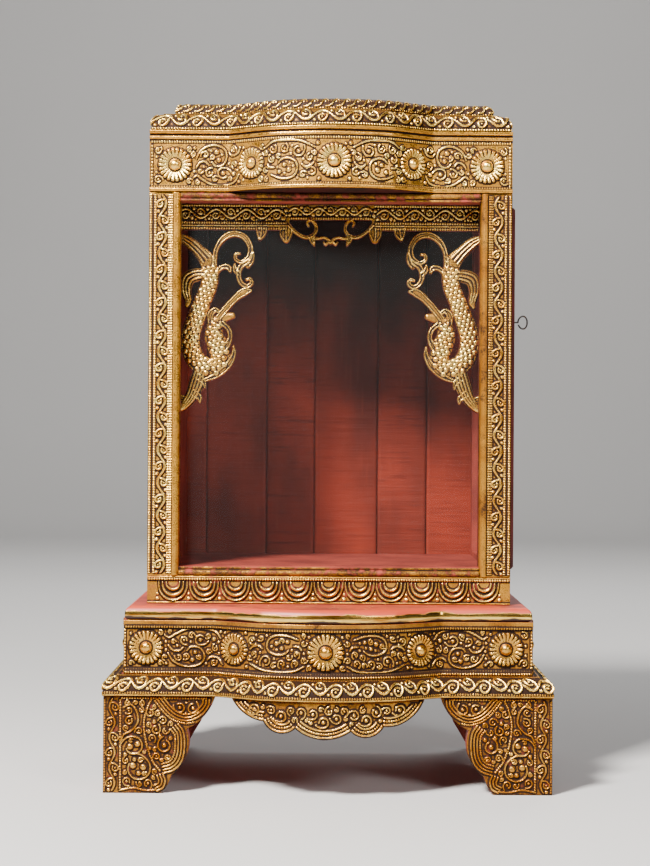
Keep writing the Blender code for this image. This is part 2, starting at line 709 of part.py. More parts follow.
def build_apron():
    """The scalloped board under the bow of the lower moulding."""
    top = Z_TIER - GAP
    cusps = [(x * MM, min(z * MM, top), bulge * MM) for x, z, bulge in APRON_CUSPS]
    line = []
    motifs = []
    for (x1, z1, bulge), (x2, z2, _) in zip(cusps, cusps[1:]):
        lobe = arc((x1, z1), (x2, z2), bulge, 5)
        line += lobe
        rim = inset(lobe + [(x2, z2)], 3.6 * MM)[1:-1]
        keep = rim[rim[:, 1] < top - 3.0 * MM]
        motifs.append(Ridge(np.column_stack([keep, np.full(len(keep), 2.6 * MM)]), 2.0 * MM))
        middle = ((x1 + x2) / 2, min((z1 + z2) / 2 + 4.0 * MM, top - 9.0 * MM))
        motifs.append(Ridge(spiral(middle, 5.5 * MM, 2.0 * MM, -90.0, 300.0, 6, 2.4 * MM), VINE_H))
    line += [cusps[-1][:2]]
    face = Y_FRAME - TIER_OUT[0] + FOOT_SETBACK
    carve_plate("apron_front", [line], (), motifs, lambda x: face - bow_at(x, BOW_HALF_BASE),
                lambda x: face + APRON_T - bow_at(x, BOW_HALF_BASE), GOLD,
                columns=bow_marks(BOW_HALF_BASE)[1:-1])


STILE_RELIEF = ((0.0, 0.8), (5.5, 1.0), (7.5, 0.2), (20.0, 0.2), (21.0, 0.8), (22.5, 0.8),
                (23.4, 0.0), (24.4, 2.4), (28.2, 2.6), (31.0, 0.4))


def build_frame():
    """The front frame: two stiles, the head, the sill and the rail of lotus petals."""
    half = STILE_W / 2
    scale = STILE_W / (STILE_RELIEF[-1][0] * MM)
    low, high = Z_SILL + GAP, Z_FRIEZE - GAP
    for end, hand in (("left", 1), ("right", -1)):
        route = front_route(half, 0.0, FRAME_T, None, False)
        rows = [((d * MM * scale - half) * hand, out * MM) for d, out in STILE_RELIEF]
        rows.sort()
        marks = [route.marks[0]] + [r[0] for r in rows] + [route.marks[-1]]
        outs = [rows[0][1]] + [r[1] for r in rows] + [rows[-1][1]]
        across = -hand * (half - STILE_VINE_IN)
        scroll = wave(low + 6.0 * MM, high - 6.0 * MM, 3.6 * MM * hand, 39.3 * MM, 4, 2.8 * MM, across, True)
        scroll[:, 1] -= low
        sweep_board("frame_stile_" + end, route, [(low, 0.0), (high, 0.0)], GOLD,
                    [Ridge(scroll, VINE_H)], marks[2:-2], (marks, outs),
                    Matrix.Translation((-hand * (X_FRAME - half), Y_FRAME, 0.0)))
    between = X_OPENING - GAP
    roll = [(0.0, 0.5 * MM), (2.0 * MM, 2.6 * MM), (5.5 * MM, 2.6 * MM), (8.9 * MM, 0.6 * MM)]
    route = front_route(between, Y_FRAME, Y_INSIDE, None, False)
    sweep_board("frame_sill", route, lifted(roll, Z_SILL, SILL_H), WORN_GOLD)
    turned_roll = [(roll[-1][0] - z, out) for z, out in reversed(roll)]
    sweep_board("frame_head", route, lifted(turned_roll, Z_HEAD, HEAD_H), WORN_GOLD)
    low, high = Z_CABINET + GAP, Z_SILL - GAP
    profile = [(low, 1.0 * MM), (low + 1.2 * MM, 1.0 * MM), (low + 1.6 * MM, 0.0),
               (high - 4.2 * MM, 0.0), (high - 3.2 * MM, 1.4 * MM), (high, 1.4 * MM)]
    route = front_route(X_FRAME, Y_FRAME, Y_INSIDE, None, False)
    petal_top = high - low - 6.0 * MM
    petals = [Petal((k - (PETALS - 1) / 2) * PETAL_PITCH, petal_top, 26.0 * MM, petal_top - 4.2 * MM)
              for k in range(PETALS)]
    sweep_board("lotus_rail", route, profile, GOLD, petals)


def build_frieze():
    """The bowed frieze board over the opening, with rosettes and vines."""
    low, high = Z_FRIEZE + GAP, Z_CORNICE - GAP
    profile = [(low, 3.0 * MM), (low + 4.0 * MM, 3.0 * MM), (low + 5.5 * MM, 0.0), (low + 52.0 * MM, 0.0),
               (low + 53.5 * MM, 2.5 * MM), (low + 57.0 * MM, 2.5 * MM), (low + 58.0 * MM, 1.0 * MM),
               (high, 3.0 * MM)]
    route = front_route(X_FRAME, Y_FRAME, Y_INSIDE, BOW_HALF_TOP, False)
    sizes = ((-156.0 * MM, ROSETTE_R), (-80.0 * MM, ROSETTE_SMALL_R), (0.0, ROSETTE_R),
             (80.0 * MM, ROSETTE_SMALL_R), (156.0 * MM, ROSETTE_R))
    sweep_board("frieze_front", route, profile, GOLD, frieze_motifs(route, profile, (2, 3), sizes))


def build_cornice_and_cap():
    """The two moulded slabs that close the top."""
    half = X_FRAME - CORNICE_SETBACK
    y_front = Y_FRAME + CORNICE_SETBACK
    profile = lifted(ovolo(3.4 * MM, 14.0 * MM, 13.0 * MM, 3), Z_CORNICE, CORNICE_T)
    route = front_route(half, y_front, Y_BACK, BOW_HALF_TOP, True)
    reach = route.along(half - 12.0 * MM)
    scroll = Ridge(wave(-reach, reach, 3.4 * MM, 34.0 * MM, 4, 2.6 * MM, 12.0 * MM), VINE_H * 0.8)
    sweep_board("cornice", route, profile, WORN_GOLD, [scroll])
    half -= CAP_SIDE_STEP
    profile = lifted(ovolo(1.5 * MM, 9.4 * MM, 10.0 * MM, 3), Z_CAP, CAP_T)
    route = front_route(half, y_front + CAP_FRONT_STEP, Y_BACK - CAP_BACK_STEP, BOW_HALF_TOP, True)
    sweep_board("cap", route, profile, WORN_GOLD, place=Matrix.Translation((CAP_OFF_CENTRE, 0.0, 0.0)))


def build_carcass():
    """Left wall, the members round the doorway, floor, ceiling and the boards of the back."""
    low, high = Z_CABINET + GAP, Z_CORNICE - GAP
    y0, y1 = Y_INSIDE + GAP, Y_BOARDS - GAP
    box("side_wall_left", (-X_WALL_OUT, y0, low), (-X_WALL_IN, y1, high), RED)
    z_low, z_high = Z_OPENING + DOORWAY_Z[0], Z_OPENING + DOORWAY_Z[1]
    box("doorway_post_front", (X_WALL_IN, y0, low), (X_WALL_OUT, y0 + POST_W, high), RED)
    box("doorway_post_back", (X_WALL_IN, y1 - POST_W, low), (X_WALL_OUT, y1, high), RED)
    inner = (y0 + POST_W + GAP, y1 - POST_W - GAP)
    box("doorway_sill", (X_WALL_IN, inner[0], low), (X_WALL_OUT, inner[1], z_low), RED)
    box("doorway_head", (X_WALL_IN, inner[0], z_high), (X_WALL_OUT, inner[1], high), RED)
    inside = X_WALL_IN - GAP
    box("cabinet_floor", (-inside, Y_FLOOR, Z_OPENING - FLOOR_T), (inside, y1, Z_OPENING), RED)
    box("cabinet_ceiling", (-inside, y0, Z_CEILING), (inside, y1, Z_CEILING + CEILING_T), DARK_RED)
    joints = (-X_WALL_OUT, *BACK_JOINTS, X_WALL_OUT)
    for k, (a, b) in enumerate(zip(joints, joints[1:])):
        box("back_board_%d" % (k + 1), (a + GAP, Y_BOARDS, low), (b - GAP, Y_BACK, high), RED)


def build_glazing():
    """The pane behind the frame and the strips that hold it."""
    half, low, high = X_OPENING + GLASS_LAP, Z_OPENING - GLASS_LAP, Z_HEAD + GLASS_LAP
    box("glass_pane", (-half, Y_GLASS, low), (half, Y_GLASS + GLASS_T, high), CLEAR)
    y0, y1 = Y_STRIP, Y_STRIP + GLAZING_STRIP
    strip = GLAZING_STRIP
    for end, x0 in (("left", -half), ("right", half - strip)):
        box("glazing_strip_" + end, (x0, y0, low + strip + GAP), (x0 + strip, y1, high - strip - GAP), DARK_RED)
    box("glazing_strip_bottom", (-half, y0, low), (half, y1, low + strip), RED)
    box("glazing_strip_top", (-half, y0, high - strip), (half, y1, high), DARK_RED)


def stroke(rows, height=2.5):
    """A domed stroke of carving through rows of inward, down and width, in millimetres."""
    return Ridge(np.array(rows, dtype=float) * MM, height * MM)


# Rows of distance in from the wall, distance down from the head of the opening, and width
NAGA_BODY = ((2, 33, 6), (11.6, 37, 10), (22, 46, 9), (31, 54.5, 14), (34.5, 67, 14), (33, 80, 13),
             (27, 96, 14.5), (21, 113, 16.5), (15, 130, 17.5), (14.5, 147, 17), (20, 160, 18), (34, 167, 16))
NAGA_CHEST = ((27, 171, 12), (40, 167.5, 17), (48, 156, 17), (44.5, 143, 20), (39.5, 133, 18),
              (41, 122, 12), (47, 115, 7), (58.5, 112.5, 4))
NAGA_BIB = ((31, 178, 3), (43, 173.5, 4.5), (53.5, 166, 5), (58.8, 155, 4), (58.5, 143, 1.5))
NAGA_LEAF = ((25, 170, 12), (22, 181, 16), (16, 196, 12), (8, 208, 7), (1.5, 208, 5))
NAGA_JAW = ((46, 124, 4), (53, 125, 4), (56, 131, 4), (53, 138, 4), (48, 143, 5))
NAGA_PLUME = ((44, 114, 5), (53, 103, 6), (62, 94, 5.5), (69, 89.5, 8), (76.5, 85.5, 2))
NAGA_COMB = ((37, 119, 4), (37.5, 112, 6), (41, 108, 5), (45, 110, 4))
NAGA_LOOP = ((40, 62, 4), (41, 46, 3.4), (48.5, 33.5, 5), (59, 28.8, 5.2), (70, 32.5, 5.2), (75.5, 43, 4.8),
             (72, 52, 4.4), (64.8, 55.5, 3.8), (60, 50, 2.8))
NAGA_STEM = ((74, 44, 4), (77.5, 53, 4.5), (76, 66, 1.5))
NAGA_SCROLL = ((72, 51, 4), (65.5, 60.5, 5), (64.4, 73, 4.6), (69, 81.5, 4.2), (76, 81.5, 3.4), (76, 75.8, 2.6))
NAGA_BUD = ((66, 57, 4), (61, 62.5, 5), (58.5, 68, 1.5))
NAGA_TWIG = ((37, 73, 3.5), (41.5, 66.5, 3.4), (48, 61.3, 3.2), (53, 65.5, 2.6))
NAGA_FIN = ((30, 72, 8), (20, 71.5, 9), (12, 75, 10), (10, 83, 7), (14, 98, 5))
NAGA = (NAGA_BODY, NAGA_CHEST, NAGA_BIB, NAGA_LEAF, NAGA_JAW, NAGA_PLUME, NAGA_COMB, NAGA_LOOP,
        NAGA_STEM, NAGA_SCROLL, NAGA_BUD, NAGA_TWIG, NAGA_FIN)


def build_nagas():
    """The two fretted dragons that bracket the opening inside the glass."""
    wall = X_WALL_IN - GAP
    for end, hand in (("left", 1), ("right", -1)):
        strokes = []
        for rows in NAGA:
            strokes.append(stroke([(r[0], -r[1], r[2]) for r in rows]))
        place = Matrix.Translation((-hand * wall, Y_CARVING, Z_HEAD)) @ Matrix.Diagonal((hand, 1.0, 1.0, 1.0))
        carve_plate("naga_" + end, (), strokes, (), lambda x: 2.5 * MM, lambda x: CARVING_T, GOLD, place=place)


# The hanging board: half of its lower edge, from the wall to the middle, and its crest
VALANCE_DROP = (25.3, 14.7)
VALANCE_STEP = 42.0
CREST_SCROLL = ((42.5, 20, 3.4), (36, 27, 3.4), (27.5, 32, 3.6), (20, 31.5, 3.6), (15, 26, 3.4), (15.5, 19.5, 3.2),
                (20, 15, 3), (24, 17.5, 2.6), (22.5, 21, 2.2))
CREST_CURL = ((18, 33, 3.6), (12, 33.5, 3), (7, 32.8, 3), (2, 35, 3), (0, 38.5, 3))
CREST_CURL_END = ((2, 37, 3), (5, 39.8, 2.6), (7, 37.5, 2))
CREST_TIP = ((20, 32, 6), (18, 37, 5), (16.5, 41, 1.5))
CREST_LOBE = ((45, 23, 12), (45.5, 29, 13), (45, 35, 7))
CREST_LEAF = ((70, 23, 12), (70.5, 29, 10), (72, 35, 3))
CREST = (CREST_SCROLL, CREST_CURL, CREST_CURL_END, CREST_TIP, CREST_LOBE, CREST_LEAF)


def build_valance():
    """The carved board across the top of the opening, behind the glass, with its crest."""
    wall = (X_WALL_IN - GAP) / MM
    top = -(CEILING_ABOVE_OPENING - GAP) / MM
    corner = 5.0
    half = [(wall, top), (wall, VALANCE_DROP[0]), (VALANCE_STEP + corner, VALANCE_DROP[0])]
    half += [(VALANCE_STEP + corner * (1 - math.sin(a)), VALANCE_DROP[0] - corner * (1 - math.cos(a)))
             for a in (math.pi / 4, math.pi / 2)]
    half += [(VALANCE_STEP, VALANCE_DROP[1])]
    line = [(-a * MM, -b * MM) for a, b in half] + [(a * MM, -b * MM) for a, b in reversed(half)]
    strokes = [stroke([(hand * r[0], -r[1], r[2]) for r in rows])
               for rows in CREST for hand in (-1, 1)]
    motifs = []
    edge = VALANCE_DROP[0] - 3.5
    for hand in (-1, 1):
        rows = [(hand * (wall - 3), -edge, 3), (hand * (VALANCE_STEP + 3.5), -edge, 3)]
        motifs.append(Ridge(np.array(rows) * MM, 1.6 * MM))
    place = Matrix.Translation((0.0, Y_CARVING, Z_HEAD))
    carve_plate("valance", [line], strokes, motifs, lambda x: 2.5 * MM, lambda x: CARVING_T, GOLD, place=place)


def hinge_leaf(name, hand, knuckles, x_face, y_axis, z_low):
    """A flat leaf with its knuckles, joined into one solid."""
    width, thick, height = HINGE_LEAF
    x_axis = x_face + GAP + HINGE_R
    near, far = HINGE_R + 2 * GAP, HINGE_R + width
    y0, y1 = sorted((y_axis + hand * near, y_axis + hand * far))
    leaf = box(name, (x_face + GAP, y0, z_low), (x_face + GAP + thick, y1, z_low + height), IRON)
    for k, (a, b) in enumerate(knuckles):
        bm = bmesh.new()
        middle = Matrix.Translation((x_axis, y_axis, z_low + (a + b) / 2))
        bmesh.ops.create_cone(bm, cap_ends=True, segments=14, radius1=HINGE_R, radius2=HINGE_R,
                              depth=b - a, matrix=middle)
        knuckle = finish_mesh("%s_knuckle_%d" % (name, k), bm, IRON)
        y2, y3 = sorted((y_axis + hand * HINGE_R * 0.4, y_axis + hand * (near + 1.0 * MM)))
        web = box("%s_web_%d" % (name, k), (x_face + GAP, y2, z_low + a),
                  (x_face + GAP + thick * 0.9, y3, z_low + b), IRON)
        for cutter in (knuckle, web):
            HOME.objects.unlink(cutter)
            TOOLS.objects.link(cutter)
            cutter.hide_render = True
            cutter.display_type = "WIRE"
            joint = leaf.modifiers.new("join", "BOOLEAN")
            joint.operation = "UNION"
            joint.solver = "EXACT"
            joint.object = cutter
    return leaf


def build_door():
    """The side door that laps the doorway, its hinges, its hanging strip and the wire pull."""
    y0 = Y_INSIDE + GAP + POST_W - DOOR_LAP
    y1 = Y_BOARDS - GAP - POST_W + DOOR_LAP
    z0, z1 = Z_OPENING + DOORWAY_Z[0] - DOOR_LAP, Z_OPENING + DOORWAY_Z[1] + DOOR_LAP
    x0 = X_WALL_OUT + GAP
    x1 = x0 + DOOR_T
    bm = bmesh.new()
    size = Vector((x1 - x0, y1 - y0, z1 - z0))
    middle = Vector((x0 + x1, y0 + y1, z0 + z1)) / 2
    bmesh.ops.create_cube(bm, size=1.0, matrix=Matrix.Translation(middle) @ Matrix.Diagonal((*size, 1.0)))
    outer = [e for e in bm.edges if all(v.co.x > x1 - 1e-6 for v in e.verts)]
    bmesh.ops.bevel(bm, geom=outer, offset=2.0 * MM, segments=1, affect="EDGES")
    finish_mesh("side_door", bm, DARK_RED)
    y_joint = y1 + HINGE_STRIP_GAP / 2
    box("door_hanging_strip", (x0, y1 + HINGE_STRIP_GAP, z0), (x1, Y_BOARDS - GAP, z1), DARK_RED)
    thirds = HINGE_LEAF[2] / 3
    for spot, z in (("lower", z0 + HINGE_FROM_END), ("upper", z1 - HINGE_FROM_END - HINGE_LEAF[2])):
        hinge_leaf("hinge_%s_door" % spot, -1, [(thirds + GAP, 2 * thirds - GAP)], x1, y_joint, z)
        hinge_leaf("hinge_%s_post" % spot, 1, [(0.0, thirds), (2 * thirds, HINGE_LEAF[2])], x1, y_joint, z)
    wide, tall = RING_SIZE
    shank = x1 + GAP
    curve = bpy.data.curves.new("door_pull", "CURVE")
    curve.dimensions = "3D"
    curve.bevel_depth = RING_WIRE / 2
    curve.bevel_resolution = 1
    curve.use_fill_caps = True
    y = y0 + RING_FROM_EDGE
    eye = Vector((shank + 3.0 * MM + wide / 2, y, RING_HEIGHT))
    rows = [(shank, y, RING_HEIGHT), (shank + 2.0 * MM, y, RING_HEIGHT)]
    for k in range(15):
        angle = math.pi - math.radians(330) * k / 14
        rows.append((eye.x + (wide - RING_WIRE) / 2 * math.cos(angle), y,
                     eye.z + (tall - RING_WIRE) / 2 * math.sin(angle)))
    line = curve.splines.new("POLY")
    line.points.add(len(rows) - 1)
    for point, row in zip(line.points, rows):
        point.co = (*row, 1.0)
    pull = bpy.data.objects.new("door_pull", curve)
    curve.materials.append(IRON)
    HOME.objects.link(pull)


TOOLS = bpy.data.collections.new("joining_tools")
bpy.context.scene.collection.children.link(TOOLS)

build_feet()
build_apron()
build_tier()
build_plinth()
build_ledge()
build_frame()
build_frieze()
build_cornice_and_cap()
build_carcass()
build_glazing()
build_valance()
build_nagas()
build_door()
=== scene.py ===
"""Temple shrine: carved gilding, lacquer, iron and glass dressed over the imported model.

Drawings are in millimetres: u runs across a face and v up it. A carving is a height map on a
grid; boards sweep it round a plan, and fretted plates cut it to an outline.
"""

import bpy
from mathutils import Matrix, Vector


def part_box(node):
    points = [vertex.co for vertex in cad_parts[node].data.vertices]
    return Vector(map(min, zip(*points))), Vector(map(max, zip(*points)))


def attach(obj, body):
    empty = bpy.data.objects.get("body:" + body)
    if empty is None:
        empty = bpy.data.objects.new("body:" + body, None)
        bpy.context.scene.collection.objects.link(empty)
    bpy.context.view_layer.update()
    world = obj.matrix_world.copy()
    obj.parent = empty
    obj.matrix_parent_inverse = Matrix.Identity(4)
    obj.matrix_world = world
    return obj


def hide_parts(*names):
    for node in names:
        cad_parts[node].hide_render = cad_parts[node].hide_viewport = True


bl_info = {
    "name": "Temple Shrine",
    "version": (1, 0, 0),
    "blender": (4, 5, 0),
    "location": "View3D > Sidebar > Shrine",
    "description": "Builds the carved, gilded and lacquered pieces of a glazed temple shrine",
    "category": "Add Mesh",
}

import math

import bpy
import numpy as np
from bpy.props import FloatProperty, FloatVectorProperty, IntProperty, PointerProperty
from mathutils import Matrix, Vector
from mathutils.geometry import delaunay_2d_cdt

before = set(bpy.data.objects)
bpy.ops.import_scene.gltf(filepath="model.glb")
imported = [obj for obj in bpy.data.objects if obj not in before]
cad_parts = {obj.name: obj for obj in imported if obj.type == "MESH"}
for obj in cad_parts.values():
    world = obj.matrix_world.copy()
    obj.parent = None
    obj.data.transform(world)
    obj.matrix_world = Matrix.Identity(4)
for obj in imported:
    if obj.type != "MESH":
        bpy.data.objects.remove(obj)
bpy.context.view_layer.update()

MM = 0.001
CABINET = "cabinet"
DOOR = "door"
GRID = (0.63, 0.8)
STILE_GRID = (0.8, 0.63)
SIDE_GRID = (1.0, 1.2)
BEAD_CELLS = 4
STRING_W = 2.0
STRING_H = 1.35
CHUNK = 12
WIND_IN = 0.8

# The serpentine front, as in the frame: flat ends, an oblique step, a curved middle
BOW = 40.0
BOW_HALF_TOP = 102.0
BOW_HALF_BASE = 111.0
BOW_SHOULDER = 0.6
BOW_SHOULDER_RISE = 0.7


def extent(node):
    """Lowest and highest corner of a solid of the frame, in millimetres."""
    low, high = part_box(node)
    return np.array(low) / MM, np.array(high) / MM


# Drawing

def spread(stops, step):
    """Evenly placed numbers through a list of stops."""
    parts = []
    for a, b in zip(stops, stops[1:]):
        parts.append(np.linspace(a, b, max(1, round((b - a) / step)), endpoint=False))
    return np.concatenate(parts + [[stops[-1]]])


def smooth(rows, per=6):
    """A flowing curve through rows of places, and of any widths beside them."""
    p = np.asarray(rows, float)
    p = np.vstack([2 * p[0] - p[1], p, 2 * p[-1] - p[-2]])
    t = np.linspace(0, 1, per, endpoint=False)[:, None]
    parts = []
    for a, b, c, d in zip(p, p[1:], p[2:], p[3:]):
        parts.append(0.5 * (2 * b + (c - a) * t + (2 * a - 5 * b + 4 * c - d) * t ** 2
                            + (3 * b - a - 3 * c + d) * t ** 3))
    return np.vstack(parts + [p[-2:-1]])


def arc(start, end, bulge, count):
    """Points from start to just before end on an arc that stands bulge to the right of the chord."""
    start, end = np.array(start, float), np.array(end, float)
    chord = end - start
    length = math.hypot(*chord)
    side = np.array([chord[1], -chord[0]]) / length
    radius = (length ** 2 / 4 + bulge ** 2) / (2 * bulge)
    centre = (start + end) / 2 + side * (bulge - radius)
    angle = math.atan2(*(start - centre)[::-1])
    sweep = 2 * math.atan2(length / 2, radius - bulge)
    turn = angle + sweep * np.arange(count) / count
    return centre + abs(radius) * np.column_stack([np.cos(turn), np.sin(turn)])


def winding(centre, radius, start, turns, tail):
    """A scroll that winds in from its rim, after a tail that comes in from outside.

    start is in degrees, turns may be negative, and tail is how far out it comes from, as a share of
    the radius.
    """
    t = np.linspace(0, 1, max(10, int(abs(turns) * 20)))
    angle = math.radians(start) + 2 * math.pi * turns * t
    r = radius * (1 - (1 - WIND_IN) * t + tail * np.clip(1 - t * abs(turns) / 0.2, 0, 1) ** 1.5)
    return np.column_stack([centre[0] + r * np.cos(angle), centre[1] + r * np.sin(angle)])


def leftward(line):
    """Unit steps to the left of an open line."""
    along = np.gradient(line[:, :2], axis=0)
    along /= np.maximum(np.linalg.norm(along, axis=1, keepdims=True), 1e-9)
    return np.column_stack([-along[:, 1], along[:, 0]])


def beside(line, distance):
    """An open line moved to its left."""
    return line[:, :2] + np.asarray(distance).reshape(-1, 1) * leftward(line)


class Carving:
    """Relief drawn on a flat face as a map of heights."""

    def __init__(self, u_stops, v_stops, step=GRID):
        self.step = min(step)
        self.u = spread(u_stops, step[0])
        self.v = spread(v_stops, step[1])
        self.grid_u, self.grid_v = np.meshgrid(self.u, self.v)
        self.h = np.zeros(self.grid_u.shape)

    def window(self, low, high):
        rows = slice(np.searchsorted(self.v, low[1]), np.searchsorted(self.v, high[1], "right"))
        columns = slice(np.searchsorted(self.u, low[0]), np.searchsorted(self.u, high[0], "right"))
        return rows, columns

    def string(self, line, width=STRING_W, height=STRING_H):
        """A rounded string of lacquer along a line; rows may carry their own width."""
        line = np.asarray(line, float)
        half = line[:, 2] / 2 if line.shape[1] > 2 else np.full(len(line), width / 2)
        line = line[:, :2]
        for k in range(0, len(line) - 1, CHUNK):
            part = line[k:k + CHUNK + 1]
            reach = half[k:k + CHUNK + 1]
            spot = self.window(part.min(0) - reach.max(), part.max(0) + reach.max())
            uu, vv = self.grid_u[spot], self.grid_v[spot]
            if uu.size == 0:
                continue
            a = part[:-1]
            d = np.diff(part, axis=0)
            off_u = uu[..., None] - a[:, 0]
            off_v = vv[..., None] - a[:, 1]
            t = np.clip((off_u * d[:, 0] + off_v * d[:, 1]) / ((d ** 2).sum(1) + 1e-9), 0, 1)
            gap = (off_u - t * d[:, 0]) ** 2 + (off_v - t * d[:, 1]) ** 2
            wide = reach[:-1] + np.diff(reach) * t
            rise = height * np.sqrt(np.clip(1 - gap / wide ** 2, 0, 1)).max(-1)
            self.h[spot] = np.maximum(self.h[spot], rise)

    def boss(self, centre, radius, height=STRING_H, base=0.0):
        """A round drop."""
        centre = np.array(centre)
        spot = self.window(centre - radius, centre + radius)
        gap = (self.grid_u[spot] - centre[0]) ** 2 + (self.grid_v[spot] - centre[1]) ** 2
        rise = np.where(gap < radius ** 2, base + height * np.sqrt(np.clip(1 - gap / radius ** 2, 0, 1)), 0)
        self.h[spot] = np.maximum(self.h[spot], rise)

    def curl(self, centre, radius, start=0.0, turns=0.85, width=1.7, height=STRING_H, tail=0.45):
        """A small scroll with a drop in its eye."""
        rim = radius - width / 2
        self.string(winding(centre, rim, start, turns, tail), width, height)
        if radius < 8:
            self.boss(centre, max(0.9, rim * 0.4), height * 1.2)

    def bead_row(self, at, low, high, radius=1.15, height=1.3, upright=False):
        """A row of beads across, or upright, in step with the grid."""
        lines, ticks = (self.u, self.v) if upright else (self.v, self.u)
        line = lines[np.argmin(abs(lines - at))]
        corners = ((low, line - radius), (high, line + radius))
        if upright:
            corners = [corner[::-1] for corner in corners]
        spot = self.window(*corners)
        across, along = self.grid_v[spot], self.grid_u[spot]
        if upright:
            across, along = along, across
        pitch = BEAD_CELLS * (ticks[1] - ticks[0])
        off = (along - ticks[0] + pitch / 2) % pitch - pitch / 2
        gap = off ** 2 + (across - line) ** 2
        self.h[spot] = np.maximum(self.h[spot], height * np.sqrt(np.clip(1 - gap / radius ** 2, 0, 1)))

    def bead_column(self, *measures):
        self.bead_row(*measures, upright=True)

    def bead_line(self, line, pitch=2.4, radius=1.15, height=1.0):
        """Beads strung along any line."""
        line = np.asarray(line, float)[:, :2]
        marks = np.concatenate([[0.0], np.cumsum(np.hypot(*np.diff(line, axis=0).T))])
        for mark in np.arange(0.0, marks[-1], pitch):
            self.boss([np.interp(mark, marks, line[:, k]) for k in (0, 1)], radius, height)

    def rosette(self, centre, radius, petals=20):
        """A round flower: fluted petals that rise to their rounded tips, and a domed boss."""
        centre = np.array(centre)
        spot = self.window(centre - radius, centre + radius)
        du, dv = self.grid_u[spot] - centre[0], self.grid_v[spot] - centre[1]
        r = np.hypot(du, dv)
        turn = np.arctan2(dv, du) * petals / (2 * math.pi)
        across = np.abs(turn - np.round(turn)) * 2
        reach = radius - 1.1 + 1.1 * np.sqrt(1 - across ** 2)
        t = np.clip((r - 6.0) / (radius - 8.0), 0, 1)
        groove = 1 - np.clip((across - 1 + 0.42 * t) / (0.05 + 0.22 * t), 0, 1) ** 1.5
        rounding = np.sqrt(np.clip(1 - (np.clip(r - reach + 3.0, 0, 3.0) / 3.0) ** 2, 0, 1))
        petal = (0.8 + 2.4 * t ** 1.4) * (0.1 + 0.9 * groove) * rounding
        size = radius * 0.36
        boss = 6.0 * np.sqrt(np.clip(1 - (r / size) ** 2, 0, 1))
        self.h[spot] = np.where(r < reach, np.maximum(petal, boss), self.h[spot])

    def room(self, low, high, inside=None):
        """Distance from each bare grid place of a window to what is drawn, up to a few cells."""
        spot = self.window(low, high)
        taken = self.h[spot] > 0.12
        if inside is not None:
            taken |= ~inside[spot]
        reach = 11
        padded = np.pad(taken, reach, constant_values=True)
        best = np.full(taken.shape, float(reach))
        for j in range(-reach, reach + 1):
            for i in range(-reach, reach + 1):
                far = math.hypot(i, j)
                if far < reach:
                    part = padded[reach + j:reach + j + taken.shape[0], reach + i:reach + i + taken.shape[1]]
                    best = np.where(part & (best > far), far, best)
        return spot, best * self.step

    def fill(self, low, high, seed, least=3.5, most=5.0, inside=None, height=1.7, drops=2.2):
        """Packs the bare ground of a window with curls, the largest first, then with a few drops."""
        rng = np.random.default_rng(seed)
        spot, room = self.room(low, high, inside)
        uu, vv = self.grid_u[spot], self.grid_v[spot]
        wish = np.minimum(room, most + 0.3) + rng.uniform(0, 0.3, room.shape)
        while True:
            k = np.unravel_index(np.argmax(wish), wish.shape)
            if wish[k] < least:
                break
            radius = min(room[k] - 0.7, most)
            if radius < least - 0.7:
                wish[k] = 0
                continue
            centre = (uu[k], vv[k])
            turns = rng.choice([-1.0, 1.0]) * rng.uniform(0.75, 0.95)
            self.curl(centre, radius, rng.uniform(0, 360), turns, 1.6, height, 0.4)
            room = np.minimum(room, np.maximum(np.hypot(uu - centre[0], vv - centre[1]) - radius, 0))
            wish = np.minimum(wish, room + 0.3)
        for _ in range(int(room.size * 0.004)):
            k = np.unravel_index(np.argmax(room), room.shape)
            if room[k] < drops + 0.5:
                break
            radius = min(room[k] - 0.5, 1.3)
            self.boss((uu[k], vv[k]), radius, height * 0.8)
            room = np.minimum(room, np.maximum(np.hypot(uu - uu[k], vv - vv[k]) - radius - 0.6, 0))

    def scroll_band(self, start, end, middle, pitch, swing, radius, upright, width, height):
        """A running scroll: a waved stem, and in each of its pockets a branch that winds into a curl."""
        count = max(1, round((end - start) / pitch))
        pitch = (end - start) / count
        along = np.linspace(start, end, count * 12 + 1)
        across = middle + swing * np.sin(math.pi * (along - start) / pitch)
        wide = width * (0.75 + 0.45 * np.abs(np.sin(math.pi * (along - start) / pitch)))
        stem = [across, along, wide] if upright else [along, across, wide]
        self.string(np.column_stack(stem), height=height)
        for k in range(count):
            hand = 1 if k % 2 == 0 else -1
            centre = np.array([start + (k + 0.46) * pitch, middle - hand * (radius - swing * 0.45)])
            branch = winding(centre, radius - width * 0.45, 35.0 * hand, -0.95 * hand, 0.7)
            drop = max(0.9, (radius - width) * 0.5)
            self.string(branch[:, ::-1] if upright else branch, width * 0.9, height)
            self.boss(centre[::-1] if upright else centre, drop, height * 1.2)
            spot = np.array([start + (k + 0.02) * pitch, middle - hand * (swing + 0.6)])
            self.boss(spot[::-1] if upright else spot, 1.7, height * 0.85)

    def hollows(self):
        """How deep each place lies under the ground about it, from 0 to 1; the gilding paints dirt and shade
        into these places.
        """
        mean = blurred(blurred(self.h, 2, 0), 2, 1)
        return np.clip((mean - self.h) / 0.6, 0, 1)


def blurred(values, reach, axis):
    """A running mean along one axis."""
    pad = [(reach + 1, reach) if k == axis else (0, 0) for k in range(values.ndim)]
    total = np.cumsum(np.pad(values, pad, mode="edge"), axis=axis)
    count = 2 * reach + 1
    after = np.split(total, [count], axis=axis)[1]
    before = np.split(total, [total.shape[axis] - count], axis=axis)[0]
    return (after - before) / count


# Mesh making

